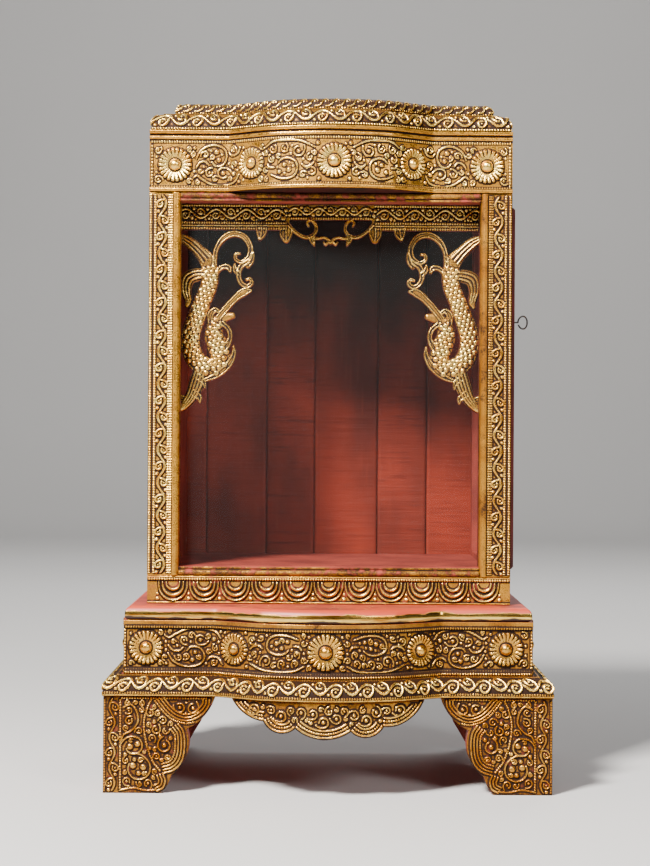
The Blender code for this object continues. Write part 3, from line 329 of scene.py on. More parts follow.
class Shape:
    """Vertices and faces gathered for one mesh, in millimetres."""

    def __init__(self):
        self.places = []
        self.relief = []
        self.hollow = []
        self.count = 0
        self.faces = []

    def add(self, places, relief=None, hollow=None):
        first = self.count
        places = np.asarray(places, float).reshape(-1, 3)
        self.places.append(places)
        none = np.zeros(len(places))
        self.relief.append(none if relief is None else np.ravel(relief))
        self.hollow.append(none if hollow is None else np.ravel(hollow))
        self.count += len(places)
        return first

    def quads(self, corners, rounded=True, finish=0):
        self.faces.append((np.asarray(corners, int).reshape(-1, 4), rounded, finish))

    def face(self, corners, finish=1):
        self.faces.append((np.asarray(corners, int).reshape(1, -1), False, finish))

    def triangles(self, corners, finish=1):
        self.faces.append((np.asarray(corners, int).reshape(-1, 3), False, finish))

    def grid(self, first, rows, columns, finish=0):
        """Faces over a block of vertices laid out in rows."""
        index = first + np.arange(rows * columns).reshape(rows, columns)
        corners = np.stack([index[:-1, :-1], index[:-1, 1:], index[1:, 1:], index[1:, :-1]], axis=-1)
        self.quads(corners, True, finish)
        return index

    def make(self, name, finishes, slot, nodes, body=CABINET, place=None, mirrored=False):
        """The finished piece, riding on its body in place of its solids."""
        xyz = np.vstack(self.places) * MM
        mesh = bpy.data.meshes.new(name)
        mesh.vertices.add(len(xyz))
        mesh.vertices.foreach_set("co", xyz.astype(np.float32).ravel())
        blocks = [(b[:, ::-1] if mirrored else b, s, f) for b, s, f in self.faces]
        sizes = np.concatenate([np.full(len(b), b.shape[1]) for b, s, f in blocks])
        loops = np.concatenate([b.ravel() for b, s, f in blocks])
        mesh.loops.add(len(loops))
        mesh.loops.foreach_set("vertex_index", loops.astype(np.int32))
        mesh.polygons.add(len(sizes))
        starts = np.concatenate([[0], np.cumsum(sizes)[:-1]])
        mesh.polygons.foreach_set("loop_start", starts.astype(np.int32))
        rounded = np.concatenate([np.full(len(b), s) for b, s, f in blocks])
        numbers = np.concatenate([np.full(len(b), f) for b, s, f in blocks])
        for key in finishes:
            mesh.materials.append(finish(key))
        mesh.polygons.foreach_set("material_index", numbers.astype(np.int32))
        mesh.polygons.foreach_set("use_smooth", rounded)
        mesh.update(calc_edges=True)
        for key, values in (("relief", self.relief), ("hollow", self.hollow)):
            layer = mesh.attributes.new(key, "FLOAT", "POINT")
            layer.data.foreach_set("value", np.concatenate(values).astype(np.float32))
        if mesh.validate():
            raise RuntimeError(name + ": its mesh has bad faces")
        piece = bpy.data.objects.new(name, mesh)
        bpy.context.scene.collection.objects.link(piece)
        if place is not None:
            mesh.transform(place)
        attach(piece, body)
        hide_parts(*nodes)
        return piece


def bow(x, half):
    """How far the serpentine front stands out at x."""
    x = np.abs(x)
    shoulder = half * BOW_SHOULDER
    step = BOW * BOW_SHOULDER_RISE * (half - x) / (half - shoulder)
    dome = BOW * (1 - (1 - BOW_SHOULDER_RISE) * (x / shoulder) ** 2)
    return np.where(x >= half, 0.0, np.where(x >= shoulder, step, dome))


class Plan:
    """The face of a board seen from above, from its back left to its back right corner."""

    def __init__(self, half, y_front, y_back, bow_half=None, turned=True, centre=0.0):
        self.turned = turned
        x = spread((-half, -bow_half, bow_half, half), 1.5) if bow_half else np.array([-half, half])
        y = y_front - (bow(x, bow_half) if bow_half else np.zeros(len(x)))
        for _ in range(3 if bow_half else 0):
            y[1:-1] = (y[:-2] + 2 * y[1:-1] + y[2:]) / 4
        points = np.vstack([[(-half, y_back)], np.column_stack([x, y]), [(half, y_back)]])
        steps = np.diff(points, axis=0)
        length = np.hypot(*steps.T)
        marks = np.concatenate([[0.0], np.cumsum(length)])
        self.marks = marks - marks[-1] / 2
        normals = np.column_stack([steps[:, 1], -steps[:, 0]]) / length[:, None]
        turn = 1 + (normals[:-1] * normals[1:]).sum(1, keepdims=True)
        self.outs = np.vstack([normals[:1], (normals[:-1] + normals[1:]) / turn, normals[-1:]])
        corner = self.outs[1, 0]
        if not turned:
            self.outs[[0, -1]] = 0.0
            self.outs[[1, -2], 0] = 0.0
        elif bow_half:
            flat = np.clip((np.abs(x) - bow_half - 5) / (half - bow_half - 5), 0, 1)
            self.outs[1:-1, 0] = np.where(flat > 0, np.sign(-x) * corner * flat, self.outs[1:-1, 0])
        self.points = points + np.array([centre, 0.0])

    def along(self, x):
        """Distance along the front of a place at x."""
        return np.interp(x, self.points[1:-1, 0], self.marks[1:-1])

    def corners(self):
        """The stops that a drawing of this board needs across."""
        if self.turned:
            return self.marks[0], self.marks[1], self.marks[-2], self.marks[-1]
        return self.marks[1], self.marks[-2]


def section_length(rows):
    """Length round a moulding's section."""
    return float(np.hypot(*np.diff(np.asarray(rows, float), axis=0).T).sum())


def board_art(plan, rows, step=GRID):
    """An empty drawing over the face that a section makes round a plan."""
    return Carving(plan.corners(), (0, section_length(rows)), step)


def swept(plan, rows, art, tilt=None):
    """A board whose section runs round a plan, with its carving, closed above, below and behind."""
    rows = np.asarray(rows, float)
    marks = np.concatenate([[0.0], np.cumsum(np.hypot(*np.diff(rows, axis=0).T))])
    u, h, deep = art.u, art.h, art.hollows()
    if not plan.turned:
        u = np.concatenate([plan.marks[:1], u, plan.marks[-1:]])
        h = np.pad(h, ((0, 0), (1, 1)))
        deep = np.pad(deep, ((0, 0), (1, 1)))
    z = np.interp(art.v, marks, rows[:, 0])
    out = np.interp(art.v, marks, rows[:, 1])
    dz, do = np.gradient(z), np.gradient(out)
    size = np.hypot(dz, do)
    height = z[:, None] - h * (do / size)[:, None]
    reach = out[:, None] + h * (dz / size)[:, None]
    # Grooves of the section join the hollow mask, so the gilding paints shade and dirt into them as well.
    groove = np.clip((blurred(out, 3, 0) - out - 0.05) / 0.45, 0, 1)
    deep = np.maximum(deep, groove[:, None])
    if tilt is not None:
        reach = reach + tilt(u)[None, :]
    x = np.interp(u, plan.marks, plan.points[:, 0]) + np.interp(u, plan.marks, plan.outs[:, 0]) * reach
    y = np.interp(u, plan.marks, plan.points[:, 1]) + np.interp(u, plan.marks, plan.outs[:, 1]) * reach
    shape = Shape()
    shape.add(np.stack([x, y, height], axis=-1), h / 2, deep)
    index = shape.grid(0, len(art.v), len(u))
    shape.face(index[-1])
    shape.face(index[0][::-1])
    shape.face(np.concatenate([index[:, 0], index[::-1, -1]]))
    return shape


def polygon_distance(loop):
    """A function that gives the distance to a closed outline, less than zero inside."""
    a = np.asarray(loop, float)
    b = np.roll(a, -1, axis=0)

    def distance(u, v):
        best = np.full(np.shape(u), 1e9)
        crossed = np.zeros(np.shape(u), bool)
        for (x1, y1), (x2, y2) in zip(a, b):
            dx, dy = x2 - x1, y2 - y1
            t = np.clip(((u - x1) * dx + (v - y1) * dy) / (dx * dx + dy * dy + 1e-12), 0, 1)
            best = np.minimum(best, (u - x1 - t * dx) ** 2 + (v - y1 - t * dy) ** 2)
            if dy:
                crossed ^= ((y1 > v) != (y2 > v)) & (u < x1 + (v - y1) * dx / dy)
        return np.sqrt(best) * np.where(crossed, -1, 1)
    return distance


def stroke_distance(strokes):
    """A function that gives the distance to the edge of a set of strokes, less than zero inside."""
    parts = np.vstack([np.hstack([line[:-1], line[1:]]) for line in strokes])

    def distance(u, v):
        best = np.full(np.shape(u), 1e9)
        for x1, y1, w1, x2, y2, w2 in parts:
            dx, dy = x2 - x1, y2 - y1
            t = np.clip(((u - x1) * dx + (v - y1) * dy) / (dx * dx + dy * dy + 1e-12), 0, 1)
            gap = np.hypot(u - x1 - t * dx, v - y1 - t * dy)
            best = np.minimum(best, gap - (w1 + (w2 - w1) * t) / 2)
        return best
    return distance


def plate(art, distance, face, front, back, edge_finish=1, copy_back=False):
    """A board cut to an outline: carving in front, square cut edges and a plain back.

    face is the rise of the ground at each grid place; front and back give y at u.
    """
    field = distance(art.grid_u, art.grid_v)
    cells = (field[:-1, :-1] + field[1:, :-1] + field[:-1, 1:] + field[1:, 1:]) < 0
    for _ in range(3):
        a, b, c, d = cells[:-1, :-1], cells[:-1, 1:], cells[1:, 1:], cells[1:, :-1]
        rising = a & c & ~b & ~d
        falling = b & d & ~a & ~c
        cells[:-1, 1:] |= rising
        cells[:-1, :-1] |= falling
    index = np.arange(field.size).reshape(field.shape)
    corner = np.stack([index[:-1, :-1], index[:-1, 1:], index[1:, 1:], index[1:, :-1]], axis=-1)
    quads = corner[cells]
    beside = np.pad(cells, 1)
    edges = []
    for side, (dj, di) in enumerate(((-1, 0), (0, 1), (1, 0), (0, -1))):
        near = beside[1 + dj:beside.shape[0] - 1 + dj, 1 + di:beside.shape[1] - 1 + di]
        open_cells = cells & ~near
        edges.append(np.stack([corner[..., side], corner[..., (side + 1) % 4]], axis=-1)[open_cells])
    edges = np.vstack(edges)
    used, flat = np.unique(quads, return_inverse=True)
    quads = flat.reshape(-1, 4)
    edges = np.searchsorted(used, edges)
    rim = np.unique(edges)
    u, v = art.grid_u.ravel()[used].copy(), art.grid_v.ravel()[used].copy()
    tiny = 0.05
    for _ in range(3):
        at = distance(u[rim], v[rim])
        gu = (distance(u[rim] + tiny, v[rim]) - at) / tiny
        gv = (distance(u[rim], v[rim] + tiny) - at) / tiny
        scale = np.clip(at, -0.6 * art.step, 0.6 * art.step) / np.maximum(gu ** 2 + gv ** 2, 0.2)
        u[rim] -= scale * gu
        v[rim] -= scale * gv
    rise = (art.h + face).ravel()[used]
    rise[rim] = face.min()
    deep = art.hollows().ravel()[used]
    shape = Shape()
    shape.add(np.column_stack([u, front(u) - rise, v]), art.h.ravel()[used] / 2, deep)
    shape.quads(quads)
    fore = shape.add(np.column_stack([u[rim], front(u[rim]) - rise[rim], v[rim]]))
    order = np.zeros(len(used), int)
    order[rim] = np.arange(len(rim))
    a, b = order[edges[:, 0]], order[edges[:, 1]]
    if copy_back:
        aft_all = shape.add(np.column_stack([u, back(u), v]))
        shape.quads(aft_all + quads[:, ::-1], True, edge_finish)
        aft = shape.add(np.column_stack([u[rim], back(u[rim]), v[rim]]))
    else:
        aft = shape.add(np.column_stack([u[rim], back(u[rim]), v[rim]]))
        close_back(shape, u[rim], v[rim], back, a, b, edge_finish)
    shape.quads(np.column_stack([fore + b, fore + a, aft + a, aft + b]), False, edge_finish)
    return shape


def close_back(shape, u, v, back, a, b, finish):
    """Cuts the flat back of a plate into triangles inside its edge loops."""
    found = delaunay_2d_cdt([Vector((x, y)) for x, y in zip(u, v)], list(zip(a.tolist(), b.tolist())), [], 0,
                            1e-6, False)
    places = np.array([tuple(p) for p in found[0]])
    faces = np.array([tuple(f) for f in found[2]])
    first = shape.add(np.column_stack([places[:, 0], back(places[:, 0]), places[:, 1]]))
    middle = places[faces].mean(axis=1)
    inside = np.zeros(len(faces), bool)
    for x1, y1, x2, y2 in zip(u[a], v[a], u[b], v[b]):
        if y1 != y2:
            inside ^= ((y1 > middle[:, 1]) != (y2 > middle[:, 1])) & (
                middle[:, 0] < x1 + (middle[:, 1] - y1) * (x2 - x1) / (y2 - y1))
    shape.triangles(first + faces[inside][:, ::-1], finish)


# Finishes

class Value:
    """A socket of a finish, so that sums on it read as plain arithmetic."""

    def __init__(self, finish, socket):
        self.finish = finish
        self.socket = socket

    def sum(self, operation, *parts):
        return self.finish.node("ShaderNodeMath", {"operation": operation}, dict(enumerate(parts)))

    def __add__(self, other):
        return self.sum("ADD", self, other)

    def __sub__(self, other):
        return self.sum("SUBTRACT", self, other)

    def __rsub__(self, other):
        return self.sum("SUBTRACT", other, self)

    def __mul__(self, other):
        return self.sum("MULTIPLY", self, other)

    __radd__ = __add__
    __rmul__ = __mul__

    def over(self, low, high):
        """0 below low and 1 above high, with a soft step between; low may be the larger."""
        if low > high:
            return 1 - self.over(high, low)
        return self.finish.node("ShaderNodeMapRange", {"interpolation_type": "SMOOTHSTEP"},
                                {"Value": self, "From Min": low, "From Max": high})

    def most(self, other):
        return self.sum("MAXIMUM", self, other)


class Finish:
    """A material built from nodes; places are in millimetres."""

    def __init__(self, name):
        self.material = bpy.data.materials.new(name)
        self.material.use_nodes = True
        self.tree = self.material.node_tree
        self.shader = self.tree.nodes["Principled BSDF"]
        inputs = self.node("ShaderNodeTexCoord", output="Object")
        self.place = self.node("ShaderNodeVectorMath", {"operation": "SCALE"}, {0: inputs, "Scale": 1 / MM})
        self.axes = {}

    def node(self, kind, settings=None, sockets=None, output=0):
        made = self.tree.nodes.new(kind)
        for key, value in (settings or {}).items():
            setattr(made, key, value)
        for key, value in (sockets or {}).items():
            if isinstance(value, Value):
                self.tree.links.new(value.socket, made.inputs[key])
            elif made.inputs[key].type == "RGBA":
                made.inputs[key].default_value = (*value, 1.0)
            else:
                made.inputs[key].default_value = value
        return Value(self, made.outputs[output])

    def axis(self, letter):
        """One coordinate of the place, in millimetres."""
        if not self.axes:
            split = self.node("ShaderNodeSeparateXYZ", None, {0: self.place})
            self.axes = {k: Value(self, split.socket.node.outputs[k]) for k in "XYZ"}
        return self.axes[letter]

    def stored(self, key):
        """A value kept on the mesh."""
        return self.node("ShaderNodeAttribute", {"attribute_name": key}, None, "Fac")

    def noise(self, size, detail=3.0, stretch=(1.0, 1.0, 1.0), rough=0.55, shift=0.0):
        """Noise whose features are about size millimetres across, longer along stretched axes."""
        scale = tuple(1.0 / (size * s) for s in stretch)
        spot = self.node("ShaderNodeVectorMath", {"operation": "MULTIPLY_ADD"},
                         {0: self.place, 1: scale, 2: (shift, shift * 0.7, shift * 1.3)})
        return self.node("ShaderNodeTexNoise", None,
                         {"Vector": spot, "Scale": 1.0, "Detail": detail, "Roughness": rough})

    def mix(self, factor, first, second):
        """A colour between two colours."""
        return self.node("ShaderNodeMix", {"data_type": "RGBA"}, {0: factor, 6: first, 7: second}, 2)

    def finished(self, colour, roughness, metallic=0.0, height=None, depth=0.3, strength=1.0, **plain):
        """Links what varies, sets what doesn't, and returns the material."""
        if height is not None:
            bump = self.node("ShaderNodeBump", None,
                             {"Strength": strength, "Distance": depth * MM, "Height": height})
            self.tree.links.new(bump.socket, self.shader.inputs["Normal"])
        for key, value in (("Base Color", colour), ("Roughness", roughness), ("Metallic", metallic)):
            if isinstance(value, Value):
                self.tree.links.new(value.socket, self.shader.inputs[key])
            elif key == "Base Color":
                self.shader.inputs[key].default_value = (*value, 1.0)
            else:
                self.shader.inputs[key].default_value = value
        for key, value in plain.items():
            self.shader.inputs[key.replace("_", " ")].default_value = value
        return self.material


def colours():
    return bpy.context.scene.shrine_colours


def gilding(name, worn, depth=0.6, red_share=0.0, dim=0.0):
    """Gold leaf over dark lacquer.

    worn runs from 0, whole, to 1, mostly rubbed away, depth is how far dirt and painted shade fill the
    ground, and dim how far the whole leaf is darkened towards deep gold, as painted shade for parts that the
    light reaches less.
    """
    f = Finish(name)
    kit = colours()
    relief = f.stored("relief")
    hollow = f.stored("hollow")
    broad = f.noise(34.0, 3.0)
    patch = f.noise(7.0, 4.0, shift=3.1)
    speck = f.noise(1.3, 3.0, shift=7.7, rough=0.7)
    # Deeper leaf on the low ground and paler leaf on the crests of the relief: painted shade and painted
    # highlight by height, broken up by noise.
    painted_shade_low_leaf = f.mix(broad.over(0.35, 0.65) * 0.4 + 0.4 * depth, kit.gold, kit.gold_deep)
    painted_highlight_top_leaf = f.mix(patch.over(0.35, 0.65), kit.gold, kit.gold_pale)
    leaf = f.mix(relief.over(0.1, 0.6), painted_shade_low_leaf, painted_highlight_top_leaf)
    # Painted shade: the whole leaf is darkened towards deep gold by dim.
    leaf = f.mix(broad.over(0.3, 0.7) * dim + dim * 0.6, leaf, kit.gold_deep)
    ground = f.mix(speck.over(0.45, 0.65), kit.hollow, kit.black_lacquer)
    if red_share:
        ground = f.mix(patch.over(0.62 - 0.2 * red_share, 0.72) * red_share, ground, kit.red_lacquer)
    wear = patch * 0.55 + speck * 0.45 + broad * 0.3 - relief * 0.45
    # Dirt and painted shade together: dark in the hollows beside the relief and on its low ground, broken up
    # by noise. Where this is high, bare takes it with the worn places, and the dark ground colour shows.
    dirt = hollow * (1.2 + 0.3 * depth) - relief.over(0.02, 0.3) * (0.3 * depth) + 0.3 * depth
    dirt = dirt + speck * 0.5 + broad * 0.2 - 0.35
    bare = wear.over(0.62 - 0.30 * worn, 0.98 - 0.36 * worn).most(dirt.over(0.10, 0.5))
    colour = f.mix(bare, leaf, ground)
    height = speck * 0.5 + patch * 0.5
    return f.finished(colour, bare * 0.3 + speck * 0.2 + 0.17, 0.97 - bare * 0.94, height, 0.5, 0.8,
                      Specular_IOR_Level=0.12)


def ledge_finish():
    """Gold rubbed along the lower half of the nose, red lacquer over the upper half, and painted shade along
    its lowest edge.
    """
    f = Finish("ledge_nose_rubbed")
    kit = colours()
    low = extent("ledge")[0]
    streak = f.noise(2.0, 4.0, (22.0, 22.0, 1.0), 0.65)
    patch = f.noise(16.0, 4.0, (2.0, 2.0, 0.7), shift=4.0)
    gold = f.mix(streak.over(0.35, 0.6), kit.gold_deep, kit.gold_pale)
    level = f.axis("Z") + patch * 9.0 + streak * 3.0 - 6.0
    red = level.over(low[2] + 8.0, low[2] + 9.2)
    # Painted shade along the underside of the nose, with dark streaks of dirt.
    dark = level.over(low[2] + 3.0, low[2] + 1.6).most(streak.over(0.62, 0.72) * 0.8)
    colour = f.mix(dark, f.mix(red, gold, kit.red_bright), kit.hollow)
    bare = red.most(dark)
    return f.finished(colour, bare * 0.22 + 0.22, 1 - bare, streak, 0.25, 0.5)


def lacquer(name, tone, dark, rough=0.5, wear=0.5, gold_wear=0.0):
    """Brushed cinnabar lacquer, rubbed and stained."""
    f = Finish(name)
    kit = colours()
    broad = f.noise(48.0, 3.0, shift=2.0)
    fine = f.noise(2.2, 4.0, (1.0, 1.0, 1.0), 0.65)
    brush = f.noise(1.6, 3.0, (14.0, 14.0, 1.0), shift=5.0)
    colour = f.mix(broad.over(0.3, 0.7), tone, dark)
    colour = f.mix(brush.over(0.55, 0.8) * 0.35, colour, dark)
    stain = (fine * 0.6 + broad * 0.5).over(0.74 - 0.1 * wear, 0.84)
    colour = f.mix(stain * wear, colour, kit.hollow)
    if gold_wear:
        patch = f.noise(5.0, 4.0, shift=9.0)
        colour = f.mix(patch.over(0.66 - 0.2 * gold_wear, 0.74) * 0.8, colour, kit.gold_deep)
    height = fine * 0.7 + brush * 0.3
    return f.finished(colour, broad * 0.15 + fine * 0.2 + rough - 0.15, 0.0, height, 0.25, 0.6,
                      Specular_IOR_Level=0.3)


def back_board_finish(number):
    """Sawn boards under thin red, with a painted shadow that darkens them towards the top."""
    f = Finish("back_board_%d_red" % number)
    kit = colours()
    z = f.axis("Z")
    shift = number * 11.3
    tone = (0.0, 0.15, 0.05, 0.45, 0.0, 0.35, 0.1)[number]
    saw = f.noise(2.4, 2.0, (30.0, 30.0, 1.0), 0.5, shift)
    cuts = f.noise(5.5, 4.0, (9.0, 9.0, 0.55), 0.7, shift + 4.0)
    broad = f.noise(70.0, 3.0, (1.0, 1.0, 2.0), shift=shift)
    grain = f.noise(1.8, 3.0, (1.0, 1.0, 40.0), 0.6, shift)
    colour = f.mix(broad.over(0.3, 0.7), kit.board_red, kit.board_dark)
    colour = f.mix(cuts.over(0.52, 0.64) * (0.35 + tone), colour, kit.board_dark)
    colour = f.mix(grain.over(0.6, 0.75) * 0.25, colour, kit.board_pale)
    # Painted shadow of the top, darkening the boards towards the top.
    painted_top_shadow = (z + broad * 70.0 - 35.0).over(440.0, 545.0) * (1 - f.axis("Y").over(147.0, 149.0))
    colour = f.mix(painted_top_shadow * 0.97, colour, kit.painted_top_shadow)
    height = saw * 0.45 + cuts * (0.4 + tone) + grain * 0.15
    return f.finished(colour, 0.66, 0.0, height, 0.8, 0.8, Specular_IOR_Level=0.2)


def iron_finish():
    """Dark drawn wire with a trace of rust."""
    f = Finish("dark_iron")
    kit = colours()
    rust = f.noise(2.4, 4.0)
    colour = f.mix(rust.over(0.5, 0.7), kit.iron, kit.rust)
    return f.finished(colour, rust * 0.3 + 0.35, 1 - rust.over(0.5, 0.7) * 0.6, rust, 0.15, 0.5)


def glass_finish():
    """Thin clear glass."""
    material = bpy.data.materials.new("clear_glass_pane")
    material.use_nodes = True
    shader = material.node_tree.nodes["Principled BSDF"]
    for key, value in (("Base Color", (0.03, 0.035, 0.035, 1.0)), ("Roughness", 0.04), ("Metallic", 0.0),
                       ("Alpha", 0.10), ("IOR", 1.5)):
        shader.inputs[key].default_value = value
    return material


FINISHES = {}


def finish(key):
    """Each finish is made once and shared."""
    kit = colours()
    makers = {
        # The last number of a gilding darkens its whole leaf as painted shade: on the right stile, the head
        # and sill, the plinth and apron, the feet and the lotus rail.
        "gilt": lambda: gilding("gold_leaf_carved", 0.15, 0.35),
        "gilt_shade": lambda: gilding("gold_leaf_shaded", 0.4, 0.8, 0.0, 0.5),
        "gilt_top": lambda: gilding("gold_leaf_top", 0.2, 1.2),
        "gilt_plain": lambda: gilding("gold_leaf_plain", 0.7, 0.4, 0.8, 0.5),
        "gilt_dark": lambda: gilding("gold_leaf_rubbed_and_shaded", 0.35, 0.9, 0.0, 0.5),
        "gilt_worn": lambda: gilding("gold_leaf_worn", 0.25, 1.8),
        "gilt_red": lambda: gilding("gold_leaf_on_red", 0.5, 1.1, 0.3, 0.75),
        "gilt_warm": lambda: gilding("gold_leaf_on_warm_red", 0.25, 0.3, 0.6, 0.2),
        "ledge": ledge_finish,
        # The underside of the bowed frieze: near-black lacquer that stands as painted shade under the bow.
        "soffit": lambda: lacquer("soffit_painted_shade", kit.door_shade, kit.black_lacquer, 0.6, 0.6),
        "red": lambda: lacquer("red_lacquer_rubbed", kit.red_lacquer, kit.red_deep),
        "red_top": lambda: lacquer("red_lacquer_ledge", kit.red_bright, kit.red_deep, 0.5, 0.3),
        "red_side": lambda: lacquer("red_lacquer_side", kit.red_lacquer, kit.red_deep, 0.5, 0.5, 0.35),
        # Ceiling, side door, strips and the cut faces of the cornice: a darker red, partly the lacquer's own
        # tone and partly painted shade for parts that lie in shadow.
        "dark_red": lambda: lacquer("dark_red_lacquer_partly_shaded", kit.dark_red, kit.door_shade, 0.5, 0.3),
        "iron": iron_finish,
        "glass": glass_finish,
    }
    if key not in FINISHES:
        FINISHES[key] = makers[key]() if key in makers else back_board_finish(int(key.removeprefix("board_")))
    return FINISHES[key]


def dress(node, key):
    """Gives a solid of the frame its finish."""
    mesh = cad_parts[node].data
    mesh.materials.clear()
    mesh.materials.append(finish(key))
    mesh.polygons.foreach_set("material_index", np.zeros(len(mesh.polygons), np.int32))


# Settings

def tint(name, description, default):
    """A colour kept on the scene."""
    return FloatVectorProperty(name=name, description=description, subtype="COLOR", min=0.0, max=1.0,
                               default=default)


class ShrineColours(bpy.types.PropertyGroup):
    """Colours of the finishes."""
    gold: tint("Gold Leaf", "Gold leaf where it is whole", (0.90, 0.45, 0.055))
    # gold_deep also stands as painted shade, on the low ground of the carving and on parts darkened by dim;
    # gold_pale also serves as a painted highlight on the crests.
    gold_deep: tint("Deep Gold", "Gold leaf in its browner patches", (0.4, 0.14, 0.01))
    gold_pale: tint("Pale Gold", "Gold leaf in its lighter patches", (1.0, 0.69, 0.16))
    # hollow is the colour of dirt and of painted shade in the hollows of the carving, on its low ground and
    # under the ledge's nose; the lacquer also uses it for its stains.
    hollow: tint("Hollow", "Dirt in the hollows of the carving", (0.022, 0.007, 0.002))
    black_lacquer: tint("Black Lacquer", "Lacquer under the gold", (0.012, 0.008, 0.006))
    red_lacquer: tint("Red Lacquer", "Cinnabar lacquer", (0.34, 0.055, 0.035))
    red_bright: tint("Bright Red", "Cinnabar lacquer in the light", (0.42, 0.046, 0.018))
    red_deep: tint("Deep Red", "Cinnabar lacquer with dirt in it", (0.19, 0.028, 0.02))
    dark_red: tint("Dark Red", "Lacquer of the door and the strips", (0.13, 0.016, 0.013))
    door_shade: tint("Door Shade", "Darker patches of the door and the strips", (0.065, 0.009, 0.007))
    board_red: tint("Board Red", "Thin red on the back boards", (0.28, 0.03, 0.01))
    board_dark: tint("Board Shadow", "Saw marks and stains of the back boards", (0.12, 0.014, 0.006))
    board_pale: tint("Board Wear", "Rubbed places of the back boards", (0.42, 0.075, 0.032))
    # The colour of the painted shadow at the top of the inside.
    painted_top_shadow: tint("Painted Shadow", "Smoke stain at the top of the inside", (0.024, 0.009, 0.005))
    iron: tint("Iron", "Wire and hinge leaves", (0.09, 0.08, 0.075))
    rust: tint("Rust", "Rust on the iron", (0.1, 0.045, 0.025))


class ShrineSizes(bpy.types.PropertyGroup):
    """Sizes of the carving."""

    petals: IntProperty(name="Rosette Petals", description="Petals of each rosette", default=22,
                        min=8, max=32)
    wire: FloatProperty(name="Wire Thickness", description="Thickness of the wire of the door pull",
                        default=0.0016, min=0.001, max=0.002, unit="LENGTH")


# Pieces

FRAME_Y = -80.0
FRAME_HALF = 181.5
SECTION_FRIEZE = ((0, 1.4), (0.8, 3), (3.4, 3.2), (4.4, 2), (5.4, 0), (52, 0), (53, 1.8), (55.6, 1.8),
                  (56.2, 0.2), (57.6, 0.2), (58.4, 2.6), (61.4, 3))
FRIEZE_FLOWERS = ((-156, 17.2), (-79, 15.5), (3, 17.2), (81, 15.5), (156, 17.2))
PLINTH_FLOWERS = ((-179.5, 17.2), (-92, 16), (-2.6, 18.3), (90, 16), (175, 17.2))
# Scrollwork between two rosettes, about the middle of the gap: stems, then curls and drops as u, v, radius
VINE_A = (
    (((-24, -13.5), (-20, -10.8), (-14.6, -14.6), (-4.4, -20), (8.2, -20.6), (19.6, -17.5), (25, -10.5)),
     ((-21, 6), (-17, 13.5), (-10, 18.6), (-1, 20), (7.5, 16.3), (10.2, 8), (6.2, 0), (-1.4, -1), (-5, 3.2)),
     ((-21, -3), (-17, 2.5), (-11.5, 3.2), (-8, -0.5)),
     ((27, 17), (23, 11), (16, 9.5), (12.5, 13))),
    ((-19.4, -18, 2.8, 90, 1), (-12, 10.6, 4.1, 200, -1), (-7.4, -8, 4.8, 60, 1), (6.6, -8.4, 6.8, 10, 1),
     (19.4, 0.4, 3.9, 250, -1), (18.4, 15.8, 4.0, 330, 1), (-16.5, -6.5, 3.0, 0, -1)),
    ((-0.2, 13, 2.6), (2.2, 5, 2.3), (18.2, -9.2, 2.4), (-22.5, 17, 1.8), (25, -17.5, 1.8)),
)
VINE_B = (
    (((-23, 14.5), (-15.4, 19.8), (-5.5, 21), (5, 20.8), (13.2, 18.8), (23, 13.5)),
     ((-10.4, -1.5), (-7, 2), (-1.5, 3.2), (5, 0.2), (7.4, -6), (5.6, -13), (0, -17), (-9, -17), (-18, -13)),
     ((11, -3), (15, -6), (20, -4.2), (22.5, -1.5)),
     ((-21, -2), (-19, -5.5), (-14.5, -6.2))),
    ((-15.6, 11.8, 4.3, 60, -1), (-4.6, 12.4, 4.5, 70, -1), (8.4, 9.8, 6.4, 40, -1),
     (-17.2, 2.4, 4.0, 110, 1), (18.6, 3.2, 3.8, 90, 1), (20.6, -10.6, 4.9, 150, -1),
     (12.3, -13.4, 3.6, 30, 1), (-22.5, -17.5, 2.8, 90, 1)),
    ((-4.8, -3.6, 2.3), (-0.6, -8.6, 2.6), (-9.5, -10.5, 2.2), (26, 17.5, 2.0), (27, -18, 2.0)),
)


def raised(rows, z):
    """A section moved up to z."""
    return [(row[0] + z, row[1]) for row in rows]


def flower_panel(art, plan, flowers, low, high, seed):
    """Rosettes along a panel, with scrolls between them and curls in what ground is left."""
    middle = (low + high) / 2
    petals = bpy.context.scene.shrine_sizes.petals
    spots = [(plan.along(x), r) for x, r in flowers]
    for u, r in spots:
        art.rosette((u, middle), r, petals)
    tall = (high - low) / 43.0
    orders = ((VINE_A, 1, 1), (VINE_B, 1, 1), (VINE_B, -1, 1), (VINE_A, -1, 1))
    if seed % 2 == 0:
        orders = ((VINE_A, 1, -1), (VINE_B, -1, -1), (VINE_B, 1, -1), (VINE_A, -1, -1))
    for (vine, across, up), (u1, r1), (u2, r2) in zip(orders, spots, spots[1:]):
        room = (u2 - r2) - (u1 + r1)
        size = np.array([across * room / 50.0, up * tall])
        centre = np.array([(u1 + r1 + u2 - r2) / 2, middle])
        stems, curls, drops = vine
        for rows in stems:
            line = smooth(np.array(rows) * size + centre)
            wide = np.interp(np.linspace(0, 1, len(line)), (0, 0.12, 0.85, 1), (1.2, 2.2, 2.1, 1.4))
            art.string(np.column_stack([line, wide]), height=1.8)
        for u, v, r, start, hand in curls:
            if across < 0:
                start = 180 - start
            if up < 0:
                start = -start
            art.curl(np.array([u, v]) * size + centre, r * tall, start, 0.85 * hand * across * up, 1.8, 1.8)
        for u, v, r in drops:
            art.boss(np.array([u, v]) * size + centre, r * tall, 2.1)
    art.fill((art.u[0] + 4, low + 0.8), (art.u[-1] - 4, high - 0.8), seed)


